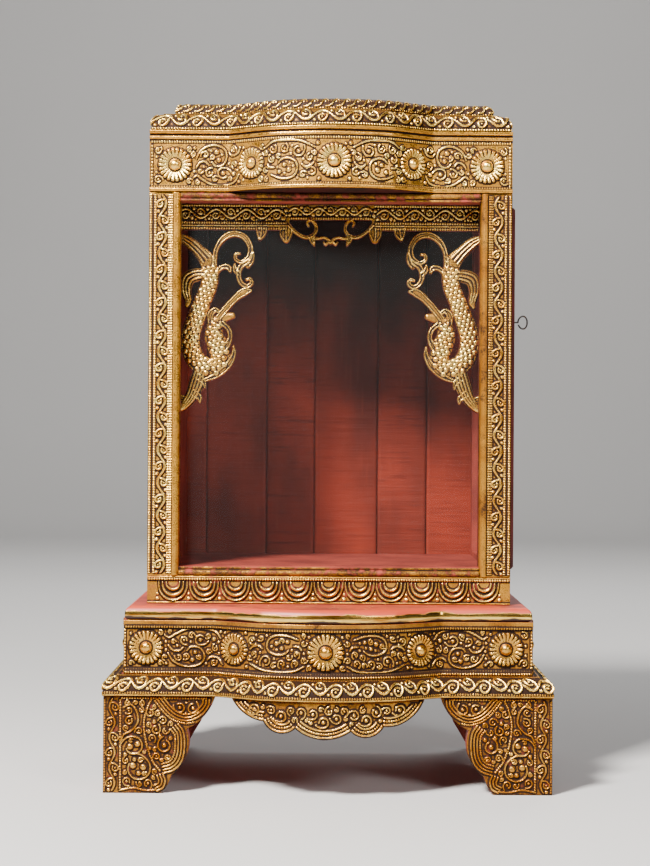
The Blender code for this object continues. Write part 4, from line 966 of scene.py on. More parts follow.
def build_frieze():
    low, high = extent("frieze_front")
    plan = Plan(FRAME_HALF, FRAME_Y, high[1], BOW_HALF_TOP, False)
    rows = raised(SECTION_FRIEZE, low[2])
    art = board_art(plan, rows)
    first, last = art.u[0], art.u[-1]
    for v in (7.4, 53.0):
        art.bead_row(v, first + 1, last - 1)
    for u in (first + 2.5, last - 2.5):
        art.bead_column(u, 7, 50)
    flower_panel(art, plan, FRIEZE_FLOWERS, 8.6, 51.0, 11)
    shape = swept(plan, rows, art)
    shape.make("carved_frieze", ("gilt", "soffit"), "gold_leaf", ["frieze_front"])


def build_plinth():
    low, high = extent("plinth_front")
    half = 201.5
    plan = Plan(half, -110.0, high[1], BOW_HALF_BASE, False)
    shape = plinth_board(plan, low[2], PLINTH_FLOWERS, GRID)
    shape.make("carved_plinth", ("gilt_dark", "red_side"), "gold_leaf", ["plinth_front"])
    for node, length, depth, place in side_boards("plinth", half):
        spots = ((25 - length / 2, 17.2), (0, 18.3), (length / 2 - 25, 17.2))
        shape = plinth_board(Plan(length / 2, 0.0, depth, None, False), low[2], spots, SIDE_GRID)
        shape.make("carved_" + node, ("gilt_dark", "red_side"), "gold_leaf", [node], CABINET, place)


def plinth_board(plan, z, flowers, step):
    """One board of the plinth, with its mouldings, beads and rosettes."""
    rows = raised(((0, 3), (3.5, 3), (5, 0), (45.4, 0), (46.9, 2.5), (52.9, 2.5)), z)
    art = board_art(plan, rows, step)
    first, last = art.u[0], art.u[-1]
    for v in (1.8, 6.2, 50.0):
        art.bead_row(v, first + 1, last - 1)
    for u in (first + 1.5, last - 1.5):
        art.bead_column(u, 8, 48)
    flower_panel(art, plan, flowers, 8.0, 47.8, 24)
    return swept(plan, rows, art)


def side_boards(prefix, half):
    """The two side boards of the base: node, length, thickness and place of each."""
    for end, hand in (("_left", -1), ("_right", 1)):
        low, high = extent(prefix + end)
        place = Matrix.Translation((hand * half * MM, (low[1] + high[1]) / 2 * MM, 0.0))
        yield (prefix + end, high[1] - low[1], high[0] - low[0],
               place @ Matrix.Rotation(math.radians(90 * hand), 4, "Z"))


def ovolo(fillet, rise, run, steps=10):
    """A moulding's section: a low fillet, then a quarter round that draws in towards the top."""
    rows = [(0.0, 0.0), (fillet, 0.0)]
    for k in range(1, steps + 1):
        angle = math.pi / 2 * k / steps
        rows.append((fillet + rise * math.sin(angle), -run * (1 - math.cos(angle))))
    return rows


def fitted(rows, low, high):
    """A section stretched between two heights."""
    scale = (high - low) / rows[-1][0]
    return [(low + row[0] * scale, row[1]) for row in rows]


def build_cornice_and_cap():
    low, high = extent("cornice")
    plan = Plan(179.5, FRAME_Y + 2.0, high[1], BOW_HALF_TOP, True)
    rows = fitted(ovolo(3.4, 14.0, 13.0), low[2], high[2])
    art = board_art(plan, rows, (0.68, 0.82))
    size = section_length(rows)
    first, last = art.u[0], art.u[-1]
    art.bead_row(1.7, first, last, 1.3, 1.3)
    art.string([(first, size - 1.4), (last, size - 1.4)], 1.8, 0.8)
    art.scroll_band(first + 2, last - 2, 10.6, 17.0, 4.9, 5.0, False, 2.8, 2.2)
    swept(plan, rows, art).make("carved_cornice", ("gilt_top", "dark_red"), "worn_gold", ["cornice"])
    low, high = extent("cap")
    plan = Plan(159.5, -64.5, high[1], BOW_HALF_TOP, True, 3.0)
    rows = fitted(ovolo(1.5, 9.4, 10.0), low[2], high[2])
    art = board_art(plan, rows, (0.68, 0.82))
    size = section_length(rows)
    first, last = art.u[0], art.u[-1]
    art.bead_row(1.2, first, last, 1.1, 0.8)
    count = round((last - first) / 10.9)
    for k in range(count):
        u = first + (k + 0.5) * (last - first) / count
        hook = [(-8.4, 2.9), (-4.6, 3.3), (-1.6, 6.2), (-0.4, 9.6), (2.6, 11.4), (4.6, 9.2)]
        hook = smooth([(u + a, b) for a, b in hook])
        art.string(hook, 1.9, 1.8)
        art.boss((u + 1.9, 8.0), 1.3, 1.7)
    art.string([(first, size - 0.9), (last, size - 0.9)], 1.6, 0.7)
    swept(plan, rows, art).make("carved_cap", ("gilt_top", "red_top"), "worn_gold", ["cap"])


def build_tier():
    low, high = extent("tier_front")
    half = 220.0
    shape = tier_board(Plan(half, -130.0, high[1], BOW_HALF_BASE, True), low[2], high[2], GRID)
    shape.make("carved_tier", ("gilt_worn", "red"), "gold_leaf", ["tier_front"])
    for node, length, depth, place in side_boards("tier", half):
        shape = tier_board(Plan(length / 2, 0.0, depth, None, False), low[2], high[2], SIDE_GRID)
        shape.make("carved_" + node, ("gilt_worn", "red"), "gold_leaf", [node], CABINET, place)


def tier_board(plan, low, high, step):
    """One board of the tier: an ovolo with a running scroll."""
    rows = fitted(ovolo(4.0, 15.0, 16.0), low, high)
    art = board_art(plan, rows, step)
    size = section_length(rows)
    first, last = art.u[0], art.u[-1]
    art.string([(first, 1.2), (last, 1.2)], 1.8, 0.8)
    art.bead_row(3.4, first, last, 1.1, 0.8)
    art.string([(first, size - 1.2), (last, size - 1.2)], 1.8, 0.8)
    art.bead_row(size - 3.4, first, last, 1.1, 0.8)
    art.scroll_band(first + 2, last - 2, size * 0.45, 15.6, 4.8, 5.5, False, 2.8, 2.3)
    return swept(plan, rows, art)


def build_ledge():
    low, high = extent("ledge")
    plan = Plan(200.5, -113.0, high[1], BOW_HALF_BASE, True)
    nose = smooth([(0, -3), (1.5, -0.8), (4.5, 0), (8.5, -0.6), (11.5, -2.6), (13.4, -6)], 4)
    art = board_art(plan, nose, (1.5, 0.9))
    shape = swept(plan, fitted(nose, low[2], high[2]), art)
    shape.make("moulded_ledge", ("ledge", "red_top"), "red_lacquer", ["ledge"])


STILE_SECTION = ((0, 0.8), (5, 1.0), (8, 0.4), (19.5, 0.2), (22, 0.6), (23.3, 0.2), (24.2, 2.2), (25.2, 2.6),
                 (27.6, 2.6), (28.6, 2.2), (31, 0.4))


def build_frame():
    for end, hand in (("left", 1), ("right", -1)):
        node = "frame_stile_" + end
        low, high = extent(node)
        half = 15.5
        plan = Plan(half, FRAME_Y, high[1], None, False, -hand * (FRAME_HALF - half))
        art = Carving((-half, half), (0, high[2] - low[2]), STILE_GRID)
        section = np.array(STILE_SECTION, float)
        tall = art.v[-1]
        for u in (1.6, 6.4, 20.2, 22.4):
            art.bead_column(u - half, 2, tall - 2)
        art.scroll_band(3, tall - 3, 13.4 - half, 16.6, 3.6, 4.3, True, 2.6, 2.1)
        if hand < 0:
            art.h = art.h[:, ::-1].copy()

        def tilt(u, hand=hand, section=section, half=half):
            inward = np.where(np.abs(u) > half, np.where(u * hand < 0, 0, 31), u * hand + half)
            return np.interp(inward, section[:, 0], section[:, 1])
        rows = [(low[2], 0.0), (high[2], 0.0)]
        shape = swept(plan, rows, art, tilt)
        # The right stile takes the shaded copy of the gilding, with painted shade.
        leaf = "gilt" if hand > 0 else "gilt_shade"
        shape.make("carved_stile_" + end, (leaf, "red_side"), "gold_leaf", [node])
    for node, name, flip in (("frame_head", "moulded_head", True), ("frame_sill", "moulded_sill", False)):
        low, high = extent(node)
        plan = Plan(high[0], FRAME_Y, high[1], None, False)
        roll = [(0, 0.6), (0.6, 1.8), (2.2, 2.9), (4.2, 2.7), (5.6, 1.4), (6.2, 0.5), (7.4, 1.4), (8.9, 1.4)]
        if flip:
            roll = [(roll[-1][0] - z, out) for z, out in reversed(roll)]
        rows = fitted(smooth(roll, 4), low[2], high[2])
        art = board_art(plan, rows, (1.4, 0.6))
        swept(plan, rows, art).make(name, ("gilt_plain", "red"), "worn_gold", [node])


# Width, top, depth and string of the nested petals, outermost first
LOTUS_PETALS = ((28.6, 22.6, 19.0, 2.6), (21.0, 22.0, 13.4, 3.6), (13.4, 22.0, 7.8, 3.2))
LOTUS_PITCH = 31.1


def build_lotus_rail():
    low, high = extent("lotus_rail")
    plan = Plan(FRAME_HALF, FRAME_Y, high[1], None, False)
    rows = raised(((0, 1), (1.2, 1), (1.6, 0), (22.7, 0), (23.7, 1.4), (26.9, 1.4)), low[2])
    art = board_art(plan, rows)
    art.bead_row(25.2, art.u[0] + 1, art.u[-1] - 1, 1.2, 1.0)
    for k in range(11):
        middle = (k - 5) * LOTUS_PITCH
        for wide, top, deep, thick in LOTUS_PETALS:
            turn = np.linspace(0, math.pi, 26)
            line = np.column_stack([middle - wide / 2 * np.cos(turn), top - deep * np.sin(turn) ** 0.8,
                                    1.3 + (thick - 1.3) * np.sin(turn)])
            art.string(line, height=2.3)
    for k in range(12):
        art.boss(((k - 5.5) * LOTUS_PITCH, 4.8), 2.0, 1.3)
        art.boss(((k - 5.5) * LOTUS_PITCH, 9.6), 1.2, 1.0)
    swept(plan, rows, art).make("carved_lotus_rail", ("gilt_warm", "red"), "gold_leaf", ["lotus_rail"])


# Where the outer edge and the face of a front foot stand, in metres
FOOT_X = 0.2197
FOOT_Y = -0.126
FOOT_TOP = 94.7
FOOT_REACH = 109.5
FOOT_STOPS = ((57.0, 0.0), (66.5, 17.5), (82.0, 63.0), (FOOT_REACH, FOOT_TOP))
FOOT_BULGES = (1.6, 8.0, 4.5)


def edge_round(distance, art, radius):
    """The fall of a rounded edge at each grid place."""
    inward = np.clip(-distance(art.grid_u, art.grid_v), 0, radius)
    return -(radius - np.sqrt(radius ** 2 - (radius - inward) ** 2))


FOOT_LOBE = ((103.9, 92.2), (102.9, 86), (97.4, 78.5), (90, 73.4), (81.2, 71.2), (71, 73.9),
             (62.2, 80.5), (52.7, 92.2))
FOOT_FLANK = ((73.5, 68), (78.4, 61), (79.8, 50), (78.6, 37), (74.5, 28), (68, 22.5), (60, 20))
FOOT_TOE = ((58.8, 19.5), (61, 13), (58.8, 6), (53, 2.4))
FOOT_FAN = ((47, 92), (42, 80), (40, 66), (42.5, 48), (48.5, 32), (56, 22))
FOOT_STEM = ((20, 84), (27, 87), (33, 80), (34, 70), (28, 61.5), (20.5, 57.5), (17.8, 52))
FOOT_CURLS = ((30, 46.5, 10.6, 170, -1), (35, 24.6, 13.6, 120, -1), (25.5, 71, 4.6, 60, 1),
              (46, 79, 4.6, 120, 1), (52, 62.5, 5.2, 60, -1), (60, 47, 7.6, 100, 1),
              (52.5, 36.5, 4.0, 200, -1), (63, 35, 3.4, 0, 1), (75, 84, 6.0, 160, 1),
              (88, 83.5, 6.4, 60, -1), (24, 88, 3.4, 90, 1), (38, 88, 3.4, 90, -1))
FOOT_DROPS = ((26.5, 45.5, 3.2), (34, 48, 3.0), (29.5, 27, 3.2), (39.5, 25.5, 3.2), (35, 19.5, 2.6),
              (31, 33, 2.2), (56, 56, 2.4), (66, 54, 2.4), (50, 70, 2.4), (81, 78, 1.8), (22, 38, 2.2),
              (46, 44, 2.0))


def foot_art():
    """The drawing of a front foot, its outer edge at u = 0, and the distance to its outline."""
    loop = [(0.0, 0.0)]
    for start, end, bulge in zip(FOOT_STOPS, FOOT_STOPS[1:], FOOT_BULGES):
        loop += [tuple(p) for p in arc(start, end, bulge, 14)]
    loop += [(FOOT_REACH, FOOT_TOP), (0.0, FOOT_TOP)]
    distance = polygon_distance(loop)
    art = Carving((0, FOOT_REACH + 1), (0, FOOT_TOP + 0.3), (0.65, 0.65))
    inside = distance(art.grid_u, art.grid_v) < -2.0
    art.bead_column(1.6, 2, 93, 1.1, 0.8)
    art.bead_column(16.6, 2, 93, 1.2, 1.1)
    art.bead_row(93, 18, 102)
    art.scroll_band(3, 92, 9.0, 14.8, 2.6, 4.2, True, 2.0, 1.7)
    lobe = smooth(FOOT_LOBE)
    flank = smooth(FOOT_FLANK)
    toe = smooth(FOOT_TOE)
    for inward in (0.0, 3.0, 6.0):
        art.string(beside(lobe, -inward), 2.0, 1.7)
        art.string(beside(flank, -inward), 2.0, 1.7)
        art.string(beside(toe, -inward), 2.0, 1.6)
    art.string(smooth(((18, 3.4), (30, 5.4), (42, 3.0), (52, 3.6))), 1.9, 1.4)
    art.bead_line(smooth(FOOT_FAN), 2.4, 1.2, 1.5)
    art.bead_line(beside(lobe, 2.7)[20:], 2.2, 1.15, 1.3)
    art.bead_line(beside(flank, -9.0), 2.2, 1.15, 1.3)
    art.string(smooth(FOOT_STEM), 2.2, 1.8)
    for u, v, r, start, hand in FOOT_CURLS:
        art.curl((u, v), r, start, 0.9 * hand, 2.0, 2.0, 0.3)
    for u, v, r in FOOT_DROPS:
        art.boss((u, v), r, 2.4)
    art.fill((18, 4), (FOOT_REACH, 91.4), 71, 2.9, 4.6, inside)
    return art, distance


def build_feet():
    art, distance = foot_art()
    face = edge_round(distance, art, 1.2)
    shape = plate(art, distance, face, lambda u: np.zeros_like(u), lambda u: np.full_like(u, 20.0))
    for end, hand in (("left", -1), ("right", 1)):
        place = Matrix.Translation((hand * FOOT_X, FOOT_Y, 0.0)) @ Matrix.Diagonal((-hand, 1.0, 1.0, 1.0))
        shape.make("carved_foot_" + end, ("gilt_red", "red"), "gold_leaf", ["foot_front_" + end],
                   CABINET, place, hand > 0)


APRON_CUSPS = ((-93.5, 94.7, 5.0), (-62.5, 75.0, 8.0), (-31.5, 69.0, 9.0), (22.0, 66.5, 8.0),
               (54.0, 70.5, 8.0), (94.0, 94.7, 0.0))


def build_apron():
    loop = []
    lobes = []
    for (x1, z1, bulge), (x2, z2, _) in zip(APRON_CUSPS, APRON_CUSPS[1:]):
        lobe = arc((x1, z1), (x2, z2), bulge, 14)
        lobes.append(np.vstack([lobe, [(x2, z2)]]))
        loop += [tuple(p) for p in lobe]
    loop += [APRON_CUSPS[-1][:2]]
    distance = polygon_distance(loop)
    art = Carving((-95, 95), (56, 95.2))
    inside = distance(art.grid_u, art.grid_v) < -2.0
    for lobe in lobes:
        left = leftward(lobe)
        for inward in (2.4, 5.6, 9.0):
            line = lobe + left * inward
            line = line[line[:, 1] < 93.0]
            if len(line) > 1 and inward == 5.6:
                art.bead_line(line, 2.4, 1.25, 1.5)
            elif len(line) > 1:
                art.string(line, 2.2, 1.9)
        middle = lobe[len(lobe) // 2] + left[len(lobe) // 2] * 17.0
        middle[1] = min(middle[1], 86.5)
        art.curl(middle, 6.2, 200.0, 0.95, 2.0, 1.9)
    art.fill((-92, 60), (92, 93.6), 81, 2.8, 5.4, inside)
    face = edge_round(distance, art, 1.2)
    front = lambda u: -126.0 - bow(u, BOW_HALF_BASE)
    shape = plate(art, distance, face, front, lambda u: front(u) + 16.0, 1, True)
    shape.make("carved_apron", ("gilt_dark", "red"), "gold_leaf", ["apron_front"])


NAGA_BODY = ((5, 33, 8), (14, 38, 12), (24, 47, 13), (32, 56, 16), (36, 68, 17), (34.5, 82, 17.5),
             (28.5, 97, 17.5), (22, 114, 19), (16.5, 131, 20), (17, 147, 20), (24, 160, 20), (37, 165.5, 18))
NAGA_CHEST = ((27, 168, 13), (40, 165, 19), (46.5, 155, 20), (43.5, 143, 21), (40, 133, 19),
              (41, 123, 15), (47, 115.5, 11), (58.5, 112.5, 6.5))
NAGA_BIB = ((31, 178, 4), (43, 173, 6), (54, 163.5, 6.5), (60, 152, 5), (60, 143, 2))
NAGA_LEAF = ((26, 168, 13), (23, 180, 16), (17.5, 194, 13), (10, 204, 9), (3, 209, 5))
NAGA_LOBES = (((18, 190, 7), (25, 195, 6), (26, 201, 2)), ((23, 174, 7), (30, 180, 5), (31, 186, 2)),
              ((12, 198, 7), (5, 195, 6), (2.5, 190, 3)))
NAGA_JAW = ((48, 120, 5), (54.5, 126, 5), (56.5, 134, 5), (53, 143, 6), (48, 148, 5))
NAGA_PLUME = ((44, 115, 6), (53, 104, 7), (62, 94.5, 7), (70, 88.5, 8.5), (77.5, 87, 3))
NAGA_COMB = ((36, 120, 5), (36.5, 111, 6.5), (41, 106.5, 5), (45, 109, 4))
NAGA_LOOP = ((40, 62, 5), (41.5, 46, 4.6), (48.5, 34.5, 6), (59, 29.4, 6.4), (70, 32.5, 6.2), (76.3, 43, 5.6),
             (74.5, 53, 5), (67.5, 58, 4.2), (61.4, 55, 3.8), (61.8, 50, 3.4), (65.5, 49.6, 3))
NAGA_STEM = ((74, 62, 5), (78, 56, 5), (79.5, 48, 2))
NAGA_SCROLL = ((75, 57, 5), (67, 62.5, 5.4), (64.6, 71.5, 5.2), (67.4, 79.5, 5), (73.5, 82.6, 4.8),
               (78, 79, 4.2), (76, 75, 3.6), (72.6, 76, 3))
NAGA_BUD = ((65, 70, 5), (61, 66, 5), (60.5, 60, 2))
NAGA_TWIG = ((40, 78, 4.5), (42.5, 69, 4.6), (48, 63.3, 5), (54, 63.5, 5.6), (56, 68, 3))
NAGA_FIN = ((34, 71, 9), (23, 71, 13), (13.5, 75, 14), (11, 86, 11), (13.5, 97, 8), (12, 103, 4))
NAGA_RIBBONS = (NAGA_BIB, NAGA_JAW, NAGA_PLUME, NAGA_COMB, NAGA_LOOP, NAGA_STEM, NAGA_SCROLL, NAGA_BUD,
                NAGA_TWIG, *NAGA_LOBES)
NAGA_FLESH = (NAGA_BODY, NAGA_CHEST, NAGA_LEAF, NAGA_FIN)
NAGA_EYES = ((63.5, 52.5), (74.8, 78.6), (53, 65.5), (41, 109.5), (23, 197), (6, 193))
HEAD_Z = 584.0
WALL_IN = 157.7
# Where the inside carving stands behind the pane, in metres
INSIDE_Y = -0.0521


def drawn(rows, hand=1):
    """A stroke's rows with v counted up from the head of the opening."""
    return smooth([(hand * r[0], -r[1], r[2]) for r in rows], 5)


def dome_over(art, strokes, height, widest=14.0):
    """The rounded body of a set of strokes, higher where a stroke is wider."""
    rise = np.zeros_like(art.h)
    for line in strokes:
        step = (art.u[1] - art.u[0], art.v[1] - art.v[0])
        part = Carving((art.u[0], art.u[-1]), (art.v[0], art.v[-1]), step)
        tall = height * min(1.0, 0.45 + line[:, 2].mean() / widest)
        part.string(line, height=tall)
        rise = np.maximum(rise, part.h)
    return rise


def scales(art, line, pitch=5.4):
    """Overlapping scales laid along a stroke."""
    step = np.diff(line[:, :2], axis=0)
    marks = np.concatenate([[0.0], np.cumsum(np.hypot(*step.T))])
    left = leftward(line)
    for row, mark in enumerate(np.arange(1.5, marks[-1] - 0.5, pitch * 0.8)):
        spot = np.array([np.interp(mark, marks, line[:, k]) for k in (0, 1)])
        wide = np.interp(mark, marks, line[:, 2]) / 2 - 1.6
        across = np.array([np.interp(mark, marks, left[:, k]) for k in (0, 1)])
        shift = pitch * 0.5 * (row % 2)
        for off in np.arange(-12.0 + shift, 12.1, pitch):
            if abs(off) < wide:
                art.boss(spot + across * off, pitch * 0.54, 2.0)


def build_nagas():
    strokes = [drawn(rows) for rows in NAGA_FLESH + NAGA_RIBBONS]
    distance = stroke_distance(strokes)
    art = Carving((0, 81), (-213, -24), (0.62, 0.62))
    scales(art, drawn(NAGA_BODY)[18:])
    scales(art, drawn(NAGA_CHEST)[4:-8])
    body = drawn(NAGA_BODY)
    left = leftward(body)
    for side in (-1, 1):
        art.bead_line(body[:, :2] + side * left * (body[:, 2:] / 2 - 1.3), 2.2, 1.0, 0.8)
    for rows in NAGA_RIBBONS:
        line = drawn(rows)
        across = leftward(line)
        for side in (-1, 1):
            edge = line[:, :2] + side * across * (line[:, 2:] / 2 - 0.8)
            art.string(np.column_stack([edge, np.full(len(edge), 1.5)]), height=1.1)
    for spot in NAGA_EYES:
        art.boss((spot[0], -spot[1]), 1.4, 1.6)
    for rows, count in ((NAGA_LEAF, 4), (NAGA_FIN, 3), (NAGA_BODY[:4], 3)):
        line = drawn(rows)
        across = leftward(line)
        for k in range(count):
            t = (k + 0.5) / count * 2 - 1
            art.string(line[:, :2] + across * line[:, 2:] * t * 0.42, 2.2, 1.2)
    art.boss((46.5, -119.5), 1.6, 2.0)
    face = dome_over(art, strokes, 2.4)
    shape = plate(art, distance, face, lambda u: np.full_like(u, 2.5), lambda u: np.full_like(u, 8.0))
    for end, hand in (("left", -1), ("right", 1)):
        place = (Matrix.Translation((hand * WALL_IN * MM, INSIDE_Y, HEAD_Z * MM))
                 @ Matrix.Diagonal((-hand, 1.0, 1.0, 1.0)))
        shape.make("carved_naga_" + end, ("gilt", "red_side"), "gold_leaf", ["naga_" + end],
                   CABINET, place, hand > 0)


VALANCE_DROP = (25.3, 14.7)
VALANCE_STEP = 42.0
CREST_SCROLL = ((42.5, 20, 3.4), (36, 27, 3.4), (27.5, 32, 3.6), (20, 31.5, 3.6), (15, 26, 3.4),
                (15.5, 19.5, 3.2), (20, 15, 3), (24, 17.5, 2.6), (22.5, 21, 2.2))
CREST_CURL = ((18, 33, 3.6), (12, 33.5, 3), (7, 32.8, 3), (2, 35, 3), (0, 38.5, 3))
CREST_CURL_END = ((2, 37, 3), (5, 39.8, 2.6), (7, 37.5, 2))
CREST_TIP = ((20, 32, 6), (18, 37, 5), (16.5, 41, 1.5))
CREST_LOBE = ((45, 23, 12), (45.5, 29, 13), (45, 35, 7))
CREST_LEAF = ((70, 23, 12), (70.5, 29, 10), (72, 35, 3))
CREST = (CREST_SCROLL, CREST_CURL, CREST_CURL_END, CREST_TIP, CREST_LOBE, CREST_LEAF)


def build_valance():
    wall, top, corner = WALL_IN, 15.7, 5.0
    half = [(wall, top), (wall, -VALANCE_DROP[0]), (VALANCE_STEP + corner, -VALANCE_DROP[0])]
    half += [(VALANCE_STEP + corner * (1 - math.sin(a)), -VALANCE_DROP[0] + corner * (1 - math.cos(a)))
             for a in np.linspace(0.3, math.pi / 2, 5)]
    half += [(VALANCE_STEP, -VALANCE_DROP[1])]
    board = polygon_distance([(-a, b) for a, b in half] + [(a, b) for a, b in reversed(half)])
    strokes = [drawn(rows, hand) for rows in CREST for hand in (-1, 1)]
    fret = stroke_distance(strokes)

    def distance(u, v):
        return np.minimum(board(u, v), fret(u, v))
    art = Carving((-158.4, 158.4), (-43, 16.2))
    inside = board(art.grid_u, art.grid_v) < -1.5
    ground = np.where(board(art.grid_u, art.grid_v) < 0, 0.8, 0.0)
    for hand in (-1, 1):
        low, high = sorted((hand * (wall - 1), hand * (VALANCE_STEP + 3)))
        art.bead_row(-VALANCE_DROP[0] + 1.6, low, high)
        art.string([(low, -VALANCE_DROP[0] + 4.2), (high, -VALANCE_DROP[0] + 4.2)], 1.7, 1.0)
        art.bead_row(-VALANCE_DROP[0] + 6.8, low, high)
        art.scroll_band(low + 2, high - 2, -9.0, 16.0, 4.4, 4.0, False, 2.0, 1.5)
        art.bead_row(-0.6, low, high)
    art.bead_row(-VALANCE_DROP[1] + 1.4, -40, 40)
    art.scroll_band(-42, 42, -6.0, 12.0, 3.2, 3.2, False, 1.9, 1.4)
    art.fill((-wall + 1, -17.0), (wall - 1, -2.0), 91, 1.6, 3.8, inside)
    for rows in CREST:
        for hand in (-1, 1):
            line = drawn(rows, hand)
            across = leftward(line)
            for t in ((-1, 1) if line[:, 2].max() < 5 else (-1, 0, 1)):
                edge = line[:, :2] + t * across * np.maximum(line[:, 2:] / 2 - 0.8, 0.1)
                art.string(edge, 1.3, 0.9)
    face = np.maximum(dome_over(art, strokes, 2.2, 6.0), ground)
    shape = plate(art, distance, face, lambda u: np.full_like(u, 2.5), lambda u: np.full_like(u, 8.0))
    place = Matrix.Translation((0.0, INSIDE_Y, HEAD_Z * MM))
    shape.make("carved_valance", ("gilt", "red_side"), "gold_leaf", ["valance"], CABINET, place)


PULL_Z = 467.0


def build_door_pull():
    """A pear-shaped loop of wire whose shank goes into the door."""
    low, high = extent("door_pull")
    y = (low[1] + high[1]) / 2
    curve = bpy.data.curves.new("wire_pull", "CURVE")
    curve.dimensions = "3D"
    curve.bevel_depth = bpy.context.scene.shrine_sizes.wire / 2
    curve.bevel_resolution = 4
    curve.use_fill_caps = True
    wide, tall = 4.7, 6.4
    middle = low[0] + 3.0 + wide + 0.8
    rows = [(low[0], PULL_Z), (low[0] + 1.4, PULL_Z)]
    for k in range(33):
        angle = math.pi - math.radians(338) * k / 32
        drop = 1 + 0.12 * math.cos(angle)
        rows.append((middle + wide * math.cos(angle), PULL_Z + tall * math.sin(angle) * drop))
    rows = smooth(rows, 3)
    line = curve.splines.new("POLY")
    line.points.add(len(rows) - 1)
    for point, (x, z) in zip(line.points, rows):
        point.co = (x * MM, y * MM, z * MM, 1.0)
    curve.materials.append(finish("iron"))
    pull = bpy.data.objects.new("wire_pull", curve)
    bpy.context.scene.collection.objects.link(pull)
    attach(pull, DOOR)
    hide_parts("door_pull")


BARE_SOLIDS = (
    ("red_side", ("doorway_post_front", "doorway_post_back", "doorway_head", "doorway_sill",
                  "side_wall_left")),
    ("red", ("cabinet_floor", "glazing_strip_bottom")),
    ("red_side", ("plinth_back", "tier_back", "foot_back_left", "foot_back_right",
                  "foot_front_left_return", "foot_front_right_return", "foot_back_left_return",
                  "foot_back_right_return")),
    ("dark_red", ("cabinet_ceiling", "side_door", "door_hanging_strip", "glazing_strip_left",
                  "glazing_strip_right", "glazing_strip_top")),
    ("iron", ("hinge_upper_door", "hinge_lower_door", "hinge_upper_post", "hinge_lower_post")),
    ("glass", ("glass_pane",)),
)


def build_carcass():
    for key, nodes in BARE_SOLIDS:
        for node in nodes:
            dress(node, key)


def build_back_boards():
    """Sawn boards, lapped behind their joints and scored across by the saw."""
    rng = np.random.default_rng(5)
    for number in range(1, 7):
        low, high = extent("back_board_%d" % number)
        x = spread((low[0], high[0]), 4.0)
        x = np.sort(np.append(x, (low[0] + 1.3, high[0] - 1.3)))
        z = spread((low[2], high[2]), 2.4)
        marks = np.linspace(-60, high[2] - low[2] + 60, 900)
        saw = np.convolve(rng.normal(size=900), np.hanning(5), "same") * 0.10
        saw -= 0.35 * (np.convolve(rng.normal(size=900), np.hanning(4), "same") > 2.4)
        lean = rng.uniform(-0.12, 0.12)
        rise = np.interp(z[:, None] - low[2] + lean * (x - low[0]), marks, saw)
        rise += 0.15 * np.sin(x / 7.0 + number) * np.ones((len(z), 1))
        edge = np.minimum(x - low[0], high[0] - x)
        rise -= 1.2 * np.clip(1 - edge / 1.3, 0, 1)
        shape = Shape()
        xx, zz = np.meshgrid(x, z)
        shape.add(np.stack([xx, low[1] - np.minimum(rise, 0.5), zz], axis=-1))
        index = shape.grid(0, len(z), len(x))
        middle = (low[1] + high[1]) / 2
        lap = (3.0 if number > 1 else 0.0, 3.0 if number < 6 else 0.0)
        left, right = low[0] + lap[0] + 0.4, high[0] + lap[1]
        section = [(high[0], middle), (right, middle), (right, high[1]),
                   (left, high[1]), (left, middle), (low[0], middle)]
        first = shape.add([(a, b, level) for level in (low[2], high[2]) for a, b in section])
        ends = [list(range(first, first + 6)), list(range(first + 6, first + 12))]
        ring = [index[:, -1], index[:, 0]]
        for a, b in zip(range(5), range(1, 6)):
            shape.face([ends[0][a], ends[0][b], ends[1][b], ends[1][a]])
        shape.face([*ring[0][::-1], ends[0][0], ends[1][0]])
        shape.face([*ring[1], ends[1][5], ends[0][5]])
        shape.face([*index[0][::-1], *ends[0][::-1]])
        shape.face([*index[-1], *ends[1]])
        key = "board_%d" % number
        shape.make("sawn_" + key, (key, key), "red_lacquer", ["back_" + key])


def add_light(name, place, aim, size, power, colour=(1.0, 1.0, 1.0)):
    """A soft square light that looks at a place."""
    lamp = bpy.data.lights.new(name, "AREA")
    lamp.size = size
    lamp.energy = power
    lamp.color = colour
    made = bpy.data.objects.new(name, lamp)
    made.location = place
    made.rotation_euler = (Vector(aim) - Vector(place)).to_track_quat("-Z", "Y").to_euler()
    bpy.context.scene.collection.objects.link(made)


